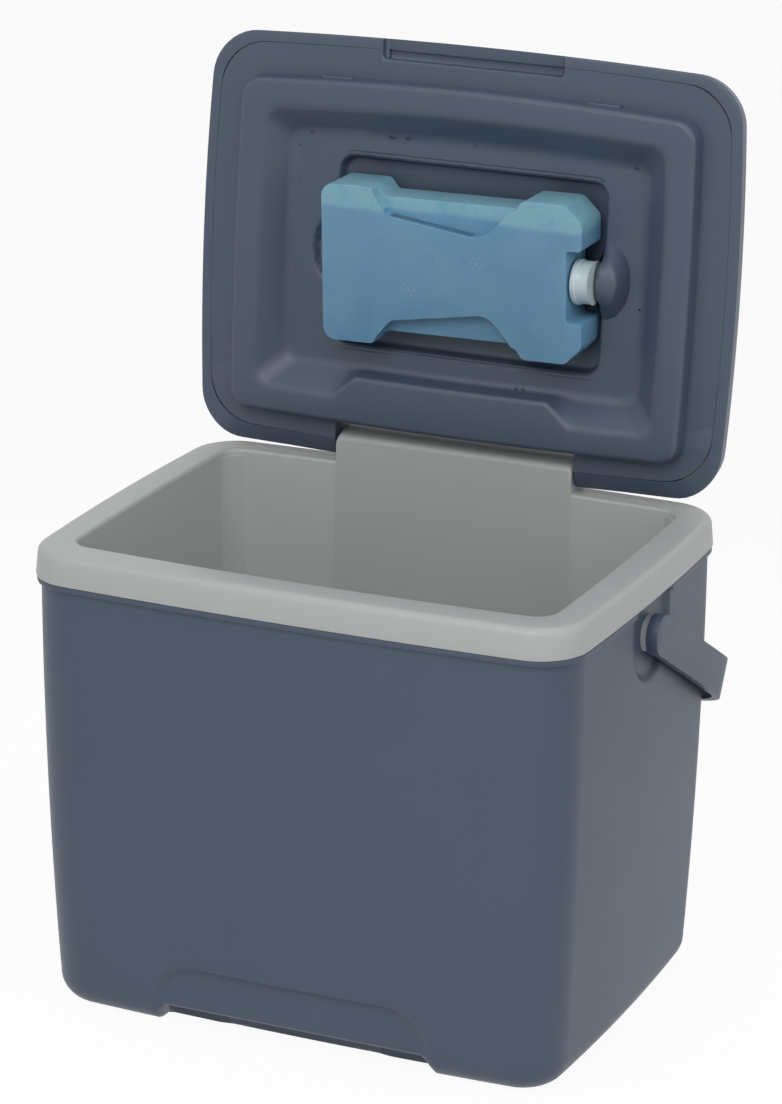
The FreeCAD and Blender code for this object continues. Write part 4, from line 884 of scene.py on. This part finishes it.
def makeCap():
    radius, start, end = brick["cap"]
    bpy.ops.object.select_all(action="DESELECT")
    middle = Vector(((start + end) / 2, brick["thick"] / 2, brick["capDown"])) * mm
    bpy.ops.mesh.primitive_cylinder_add(vertices=96, radius=radius * mm, depth=(end - start) * mm, location=middle,
                                        rotation=(0, math.pi / 2, 0))
    piece = bpy.context.object
    piece.name = piece.data.name = "brickCap"
    bpy.ops.object.transform_apply(location=True, rotation=True, scale=True)
    edit(piece)
    bpy.ops.mesh.select_all(action="SELECT")
    bpy.ops.mesh.bisect(plane_co=((start + 3.4) * mm, 0, 0), plane_no=(1, 0, 0))
    chosen = end * mm
    choose(piece, "FACE", lambda face: abs(face.normal.x) < 0.5 and face.calc_center_median().x > (start + 4) * mm)
    bpy.ops.mesh.extrude_region_move()
    bpy.ops.transform.resize(value=(1, 0.945, 0.945), center_override=middle)
    choose(piece, "FACE", lambda face: face.normal.x > 0.9 and face.calc_center_median().x > chosen - 0.0001)
    bpy.ops.mesh.select_all(action="SELECT")
    bpy.ops.mesh.remove_doubles(threshold=0.000002)
    bpy.ops.mesh.normals_make_consistent(inside=False)
    leaveEdit()
    useModifier(piece, "BEVEL", width=0.9 * mm, segments=3, limit_method="ANGLE", angle_limit=math.radians(50))
    settle(piece, inPocket)
    smoothShade(piece)
    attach(piece, "ice_brick")
    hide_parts("ice_brick_cap")
    return piece


brickPiece = makeBrick()
flakePieces = [makeFlake(number, place) for number, place in enumerate(brick["flakes"], 1)]
capPiece = makeCap()
print("ice brick made")


# Shader maths

class Wire:
    """a socket that takes part in sums"""

    def __init__(self, tree, socket):
        self.tree = tree
        self.socket = socket

    def math(self, operation, first, second):
        node = self.tree.nodes.new("ShaderNodeMath")
        node.operation = operation
        for port, value in zip(node.inputs, (first, second)):
            connect(self.tree, port, value)
        return Wire(self.tree, node.outputs[0])

    def __add__(self, other):
        return self.math("ADD", self, other)

    def __radd__(self, other):
        return self.math("ADD", other, self)

    def __sub__(self, other):
        return self.math("SUBTRACT", self, other)

    def __rsub__(self, other):
        return self.math("SUBTRACT", other, self)

    def __mul__(self, other):
        return self.math("MULTIPLY", self, other)

    def __rmul__(self, other):
        return self.math("MULTIPLY", other, self)

    def __truediv__(self, other):
        return self.math("DIVIDE", self, other)

    def __pow__(self, other):
        return self.math("POWER", self, other)


def connect(tree, port, value):
    if isinstance(value, Wire):
        tree.links.new(value.socket, port)
    elif value is not None:
        port.default_value = value


class Finish:
    """one material and the nodes that feed its surface"""

    def __init__(self, name, **fixed):
        self.material = bpy.data.materials.new(name)
        self.material.use_nodes = True
        self.tree = self.material.node_tree
        self.surface = self.tree.nodes["Principled BSDF"]
        for key, value in fixed.items():
            self.surface.inputs[key].default_value = value
        self.place = self.node("TexCoord", output="Object")

    def node(self, kind, settings=None, values=None, output=0):
        node = self.tree.nodes.new("ShaderNode" + kind)
        for key, value in (settings or {}).items():
            if key == "stops":
                node.color_ramp.elements[0].position = value[0][0]
                node.color_ramp.elements[0].color = value[0][1]
                node.color_ramp.elements[1].position = value[1][0]
                node.color_ramp.elements[1].color = value[1][1]
            else:
                setattr(node, key, value)
        for key, value in (values or {}).items():
            connect(self.tree, node.inputs[key], value)
        return Wire(self.tree, node.outputs[output])

    def noise(self, scale, detail=3.0, roughness=0.5, vector=None):
        return self.node("TexNoise", None, {"Vector": vector or self.place, "Scale": scale, "Detail": detail,
                                            "Roughness": roughness})

    def stretched(self, scale):
        return self.node("Mapping", None, {"Vector": self.place, "Scale": scale})

    def axis(self, letter):
        return self.node("SeparateXYZ", None, {"Vector": self.place}, letter)

    def step(self, value, low, high):
        """0 below low, 1 above high, smooth between"""
        return self.node("MapRange", {"interpolation_type": "SMOOTHSTEP"},
                         {"Value": value, "From Min": low, "From Max": high})

    def blend(self, share, first, second):
        node = self.tree.nodes.new("ShaderNodeMix")
        node.data_type = "RGBA"
        connect(self.tree, node.inputs[0], share)
        connect(self.tree, node.inputs[6], first)
        connect(self.tree, node.inputs[7], second)
        return Wire(self.tree, node.outputs[2])

    def bump(self, height, strength, distance):
        return self.node("Bump", None, {"Height": height, "Strength": strength, "Distance": distance})

    def feed(self, **inputs):
        for key, value in inputs.items():
            connect(self.tree, self.surface.inputs[key.replace("_", " ")], value)
        return self


def rgb(red, green, blue):
    """a colour as a picture gives it, from 0 to 255"""
    def linear(value):
        value /= 255
        return value / 12.92 if value <= 0.04045 else ((value + 0.055) / 1.055) ** 2.4
    return linear(red), linear(green), linear(blue), 1.0


def moulded(name, dark, light, roughness, grain):
    """moulded plastic with a fine grain, faint cloudiness and scuffs"""
    finish = Finish(name, IOR=1.5)
    cloud = finish.noise(14, 3, 0.55)
    fine = finish.noise(grain, 2, 0.6)
    flow = finish.noise(1.0, 2, 0.5, finish.stretched((30, 30, 5)))
    scuff = finish.step(finish.noise(1.0, 6, 0.75, finish.stretched((210, 210, 60))), 0.66, 0.78)
    colour = finish.blend(cloud * 0.7 + flow * 0.3, dark, light)
    speckle = finish.step(fine, 0.30, 0.75)
    finish.feed(Base_Color=finish.blend(speckle * 0.18, colour, light),
                Roughness=roughness + (cloud - 0.5) * 0.10 + (speckle - 0.5) * 0.06 + scuff * 0.05,
                Normal=finish.bump(fine + scuff * 0.15, 0.10, 0.00015))
    return finish.material


slate = moulded("slatePlastic", rgb(56, 68, 86), rgb(62, 74, 92), 0.46, 1900)
# The lid uses the box's slate plastic painted a little lighter: painted light that stands in for the light its shaded
# dish and pocket miss.
slateLidPaintedLighter = moulded("slatePlasticLidPaintedLighter", rgb(64, 75, 92), rgb(70, 81, 98), 0.44, 1900)
pale = moulded("palePlastic", rgb(166, 168, 166), rgb(172, 174, 172), 0.42, 1500)


def brickSkin():
    """thin blown plastic over blue gel, with a paler pocket of air along the top"""
    finish = Finish("brickSkin", IOR=1.48)
    finish.surface.inputs["Subsurface Weight"].default_value = 0.35
    finish.surface.inputs["Subsurface Radius"].default_value = (0.4, 0.8, 1.0)
    finish.surface.inputs["Subsurface Scale"].default_value = 0.006
    wave = finish.noise(70, 2, 0.5)
    high = finish.axis("Z") + (wave - 0.5) * 0.004 - (brick["place"][2] + 34.5) * mm
    air = finish.step(high, -0.0022, 0.0022)
    cloud = finish.noise(24, 4, 0.6)
    blots = finish.step(finish.noise(90, 3, 0.6), 0.46, 0.80)
    gel = finish.blend(finish.step(cloud, 0.2, 0.8), rgb(92, 138, 170), rgb(106, 148, 175))
    gap = finish.blend(blots, rgb(124, 168, 184), rgb(98, 158, 176))
    fine = finish.noise(1600, 2, 0.6)
    finish.feed(Base_Color=finish.blend(air, gel, gap),
                Roughness=0.36 + (cloud - 0.5) * 0.12 + (fine - 0.5) * 0.08,
                Normal=finish.bump(fine + cloud * 0.6, 0.12, 0.0003))
    return finish.material


def flakeSkin():
    finish = Finish("flakeSkin", IOR=1.48)
    fine = finish.noise(1600, 2, 0.6)
    finish.feed(Base_Color=finish.blend(fine, rgb(108, 150, 178), rgb(120, 158, 184)),
                Roughness=0.34 + (fine - 0.5) * 0.1)
    return finish.material


def capPlastic():
    finish = Finish("capPlastic", IOR=1.5)
    finish.surface.inputs["Subsurface Weight"].default_value = 0.4
    finish.surface.inputs["Subsurface Radius"].default_value = (0.8, 0.9, 1.0)
    finish.surface.inputs["Subsurface Scale"].default_value = 0.004
    cloud = finish.noise(90, 3, 0.5)
    fine = finish.noise(1500, 2, 0.6)
    finish.feed(Base_Color=finish.blend(cloud, rgb(176, 192, 200), rgb(200, 210, 214)),
                Roughness=0.28 + (fine - 0.5) * 0.1, Normal=finish.bump(fine, 0.06, 0.0002))
    return finish.material


def foamCells():
    finish = Finish("foamCells", Roughness=0.9)
    cells = finish.node("TexVoronoi", None, {"Vector": finish.place, "Scale": 520.0})
    cloud = finish.noise(30, 4, 0.6)
    finish.feed(Base_Color=finish.blend(cloud, rgb(226, 216, 176), rgb(240, 232, 200)),
                Normal=finish.bump(cells, 0.5, 0.0008))
    return finish.material


def drawnSteel():
    finish = Finish("drawnSteel", Metallic=1.0)
    lines = finish.noise(1.0, 4, 0.6, finish.stretched((60, 2200, 2200)))
    finish.feed(Base_Color=finish.blend(lines, rgb(150, 152, 154), rgb(184, 186, 188)),
                Roughness=0.28 + lines * 0.16, Normal=finish.bump(lines, 0.15, 0.00005))
    return finish.material


def softRubber():
    finish = Finish("softRubber")
    fine = finish.noise(900, 3, 0.6)
    finish.feed(Base_Color=finish.blend(fine, rgb(188, 188, 184), rgb(206, 206, 202)),
                Roughness=0.62 + (fine - 0.5) * 0.1, Normal=finish.bump(fine, 0.2, 0.0002))
    return finish.material


def wetGel():
    finish = Finish("wetGel")
    cloud = finish.noise(60, 4, 0.6)
    finish.feed(Base_Color=finish.blend(cloud, rgb(70, 128, 176), rgb(104, 160, 196)),
                Roughness=0.08 + cloud * 0.1, Normal=finish.bump(cloud, 0.3, 0.001))
    return finish.material


def paint(piece, material):
    piece.data.materials.clear()
    piece.data.materials.append(material)


for piece in (shellPiece, handlePiece):
    paint(piece, slate)
for piece in (lidPiece, panelPiece, stopPiece):
    paint(piece, slateLidPaintedLighter)
paint(linerPiece, pale)
paint(brickPiece, brickSkin())
paint(capPiece, capPlastic())
flakeFinish = flakeSkin()
for piece in flakePieces:
    paint(piece, flakeFinish)
foamFinish, steelFinish = foamCells(), drawnSteel()
nodeFinishes = {"foam": foamFinish, "lid_foam": foamFinish, "hinge_pin": steelFinish, "handle_bush": pale,
                "handle_stud": slate, "ice_gel": wetGel(), "cap_seal": softRubber()}
for name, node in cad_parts.items():
    for start, finish in nodeFinishes.items():
        if name.startswith(start):
            for slot in node.material_slots:
                slot.material = finish
print("finishes made")


# Studio: a pale floor, a white sky for the camera and soft lamps

# The floor's own tone is a painted pool of light: pale near the object and dark further off, so the light it throws
# back onto the object falls away with distance.
studio = {"paintedLitFloorNear": 0.90, "paintedDimFloorFar": 0.30, "nearReach": 0.45, "farReach": 1.3, "whiteShare": 0.94,
          "sky": (0.93, 0.96, 1.0, 1), "skyPower": 0.44}


def plainRays(tree):
    # 1 for what the camera sees straight, in a gloss or through glass, and 0 for what lights the object
    rays = tree.nodes.new("ShaderNodeLightPath")
    kinds = [Wire(tree, rays.outputs[kind]) for kind in ("Is Camera Ray", "Is Glossy Ray", "Is Transmission Ray")]
    return kinds[0] + kinds[1] + kinds[2]


def makeStudio():
    bpy.ops.object.select_all(action="DESELECT")
    bpy.ops.mesh.primitive_plane_add(size=14)
    floor = bpy.context.object
    floor.name = "studioFloor"
    finish = Finish("paleFloor", Roughness=0.9)
    tree = finish.tree
    # painted pool of light: the floor is paler near the object and darker from nearReach out to farReach
    away = finish.node("VectorMath", {"operation": "LENGTH"}, {"Vector": finish.place}, "Value")
    far = finish.step(away, studio["nearReach"], studio["farReach"])
    near, edge = ((studio[key],) * 3 + (1,) for key in ("paintedLitFloorNear", "paintedDimFloorFar"))
    finish.feed(Base_Color=finish.blend(far, near, edge))
    white = tree.nodes.new("ShaderNodeEmission")
    mix = tree.nodes.new("ShaderNodeMixShader")
    connect(tree, mix.inputs[0], plainRays(tree) * studio["whiteShare"])
    tree.links.new(finish.surface.outputs[0], mix.inputs[1])
    tree.links.new(white.outputs[0], mix.inputs[2])
    tree.links.new(mix.outputs[0], tree.nodes["Material Output"].inputs["Surface"])
    paint(floor, finish.material)
    world = bpy.data.worlds.new("studioSky")
    world.use_nodes = True
    bpy.context.scene.world = world
    tree = world.node_tree
    sky = tree.nodes["Background"]
    sky.inputs["Color"].default_value = studio["sky"]
    sky.inputs["Strength"].default_value = studio["skyPower"]
    white = tree.nodes.new("ShaderNodeBackground")
    white.inputs["Color"].default_value = (1, 1, 1, 1)
    mix = tree.nodes.new("ShaderNodeMixShader")
    connect(tree, mix.inputs[0], plainRays(tree))
    tree.links.new(sky.outputs[0], mix.inputs[1])
    tree.links.new(white.outputs[0], mix.inputs[2])
    tree.links.new(mix.outputs[0], tree.nodes["World Output"].inputs["Surface"])


def addLamp(name, place, size, power, aim=(0, 0, 0.3)):
    bpy.ops.object.light_add(type="AREA", location=place)
    lamp = bpy.context.object
    lamp.name = name
    lamp.data.shape = "RECTANGLE"
    lamp.data.size, lamp.data.size_y = size
    lamp.data.energy = power
    lamp.visible_camera = False
    lamp.rotation_mode = "QUATERNION"
    lamp.rotation_quaternion = (Vector(aim) - Vector(place)).to_track_quat("-Z", "Y")


makeStudio()
addLamp("softTop", (0.2, -0.3, 2.6), (2.4, 2.4), 10)
addLamp("softKey", (0.2, -1.9, 1.9), (1.6, 1.2), 24, (0, 0, 0.35))
addLamp("softRight", (2.4, -0.6, 1.3), (1.6, 2.0), 15)
addLamp("softLeft", (-2.2, -1.6, 1.2), (1.6, 2.0), 4)
addLamp("softLow", (0.15, -0.75, 0.03), (0.9, 0.3), 0.6, (0, -0.1, 0.08))
scene = bpy.context.scene
scene.view_settings.view_transform = "Standard"
print("studio made")
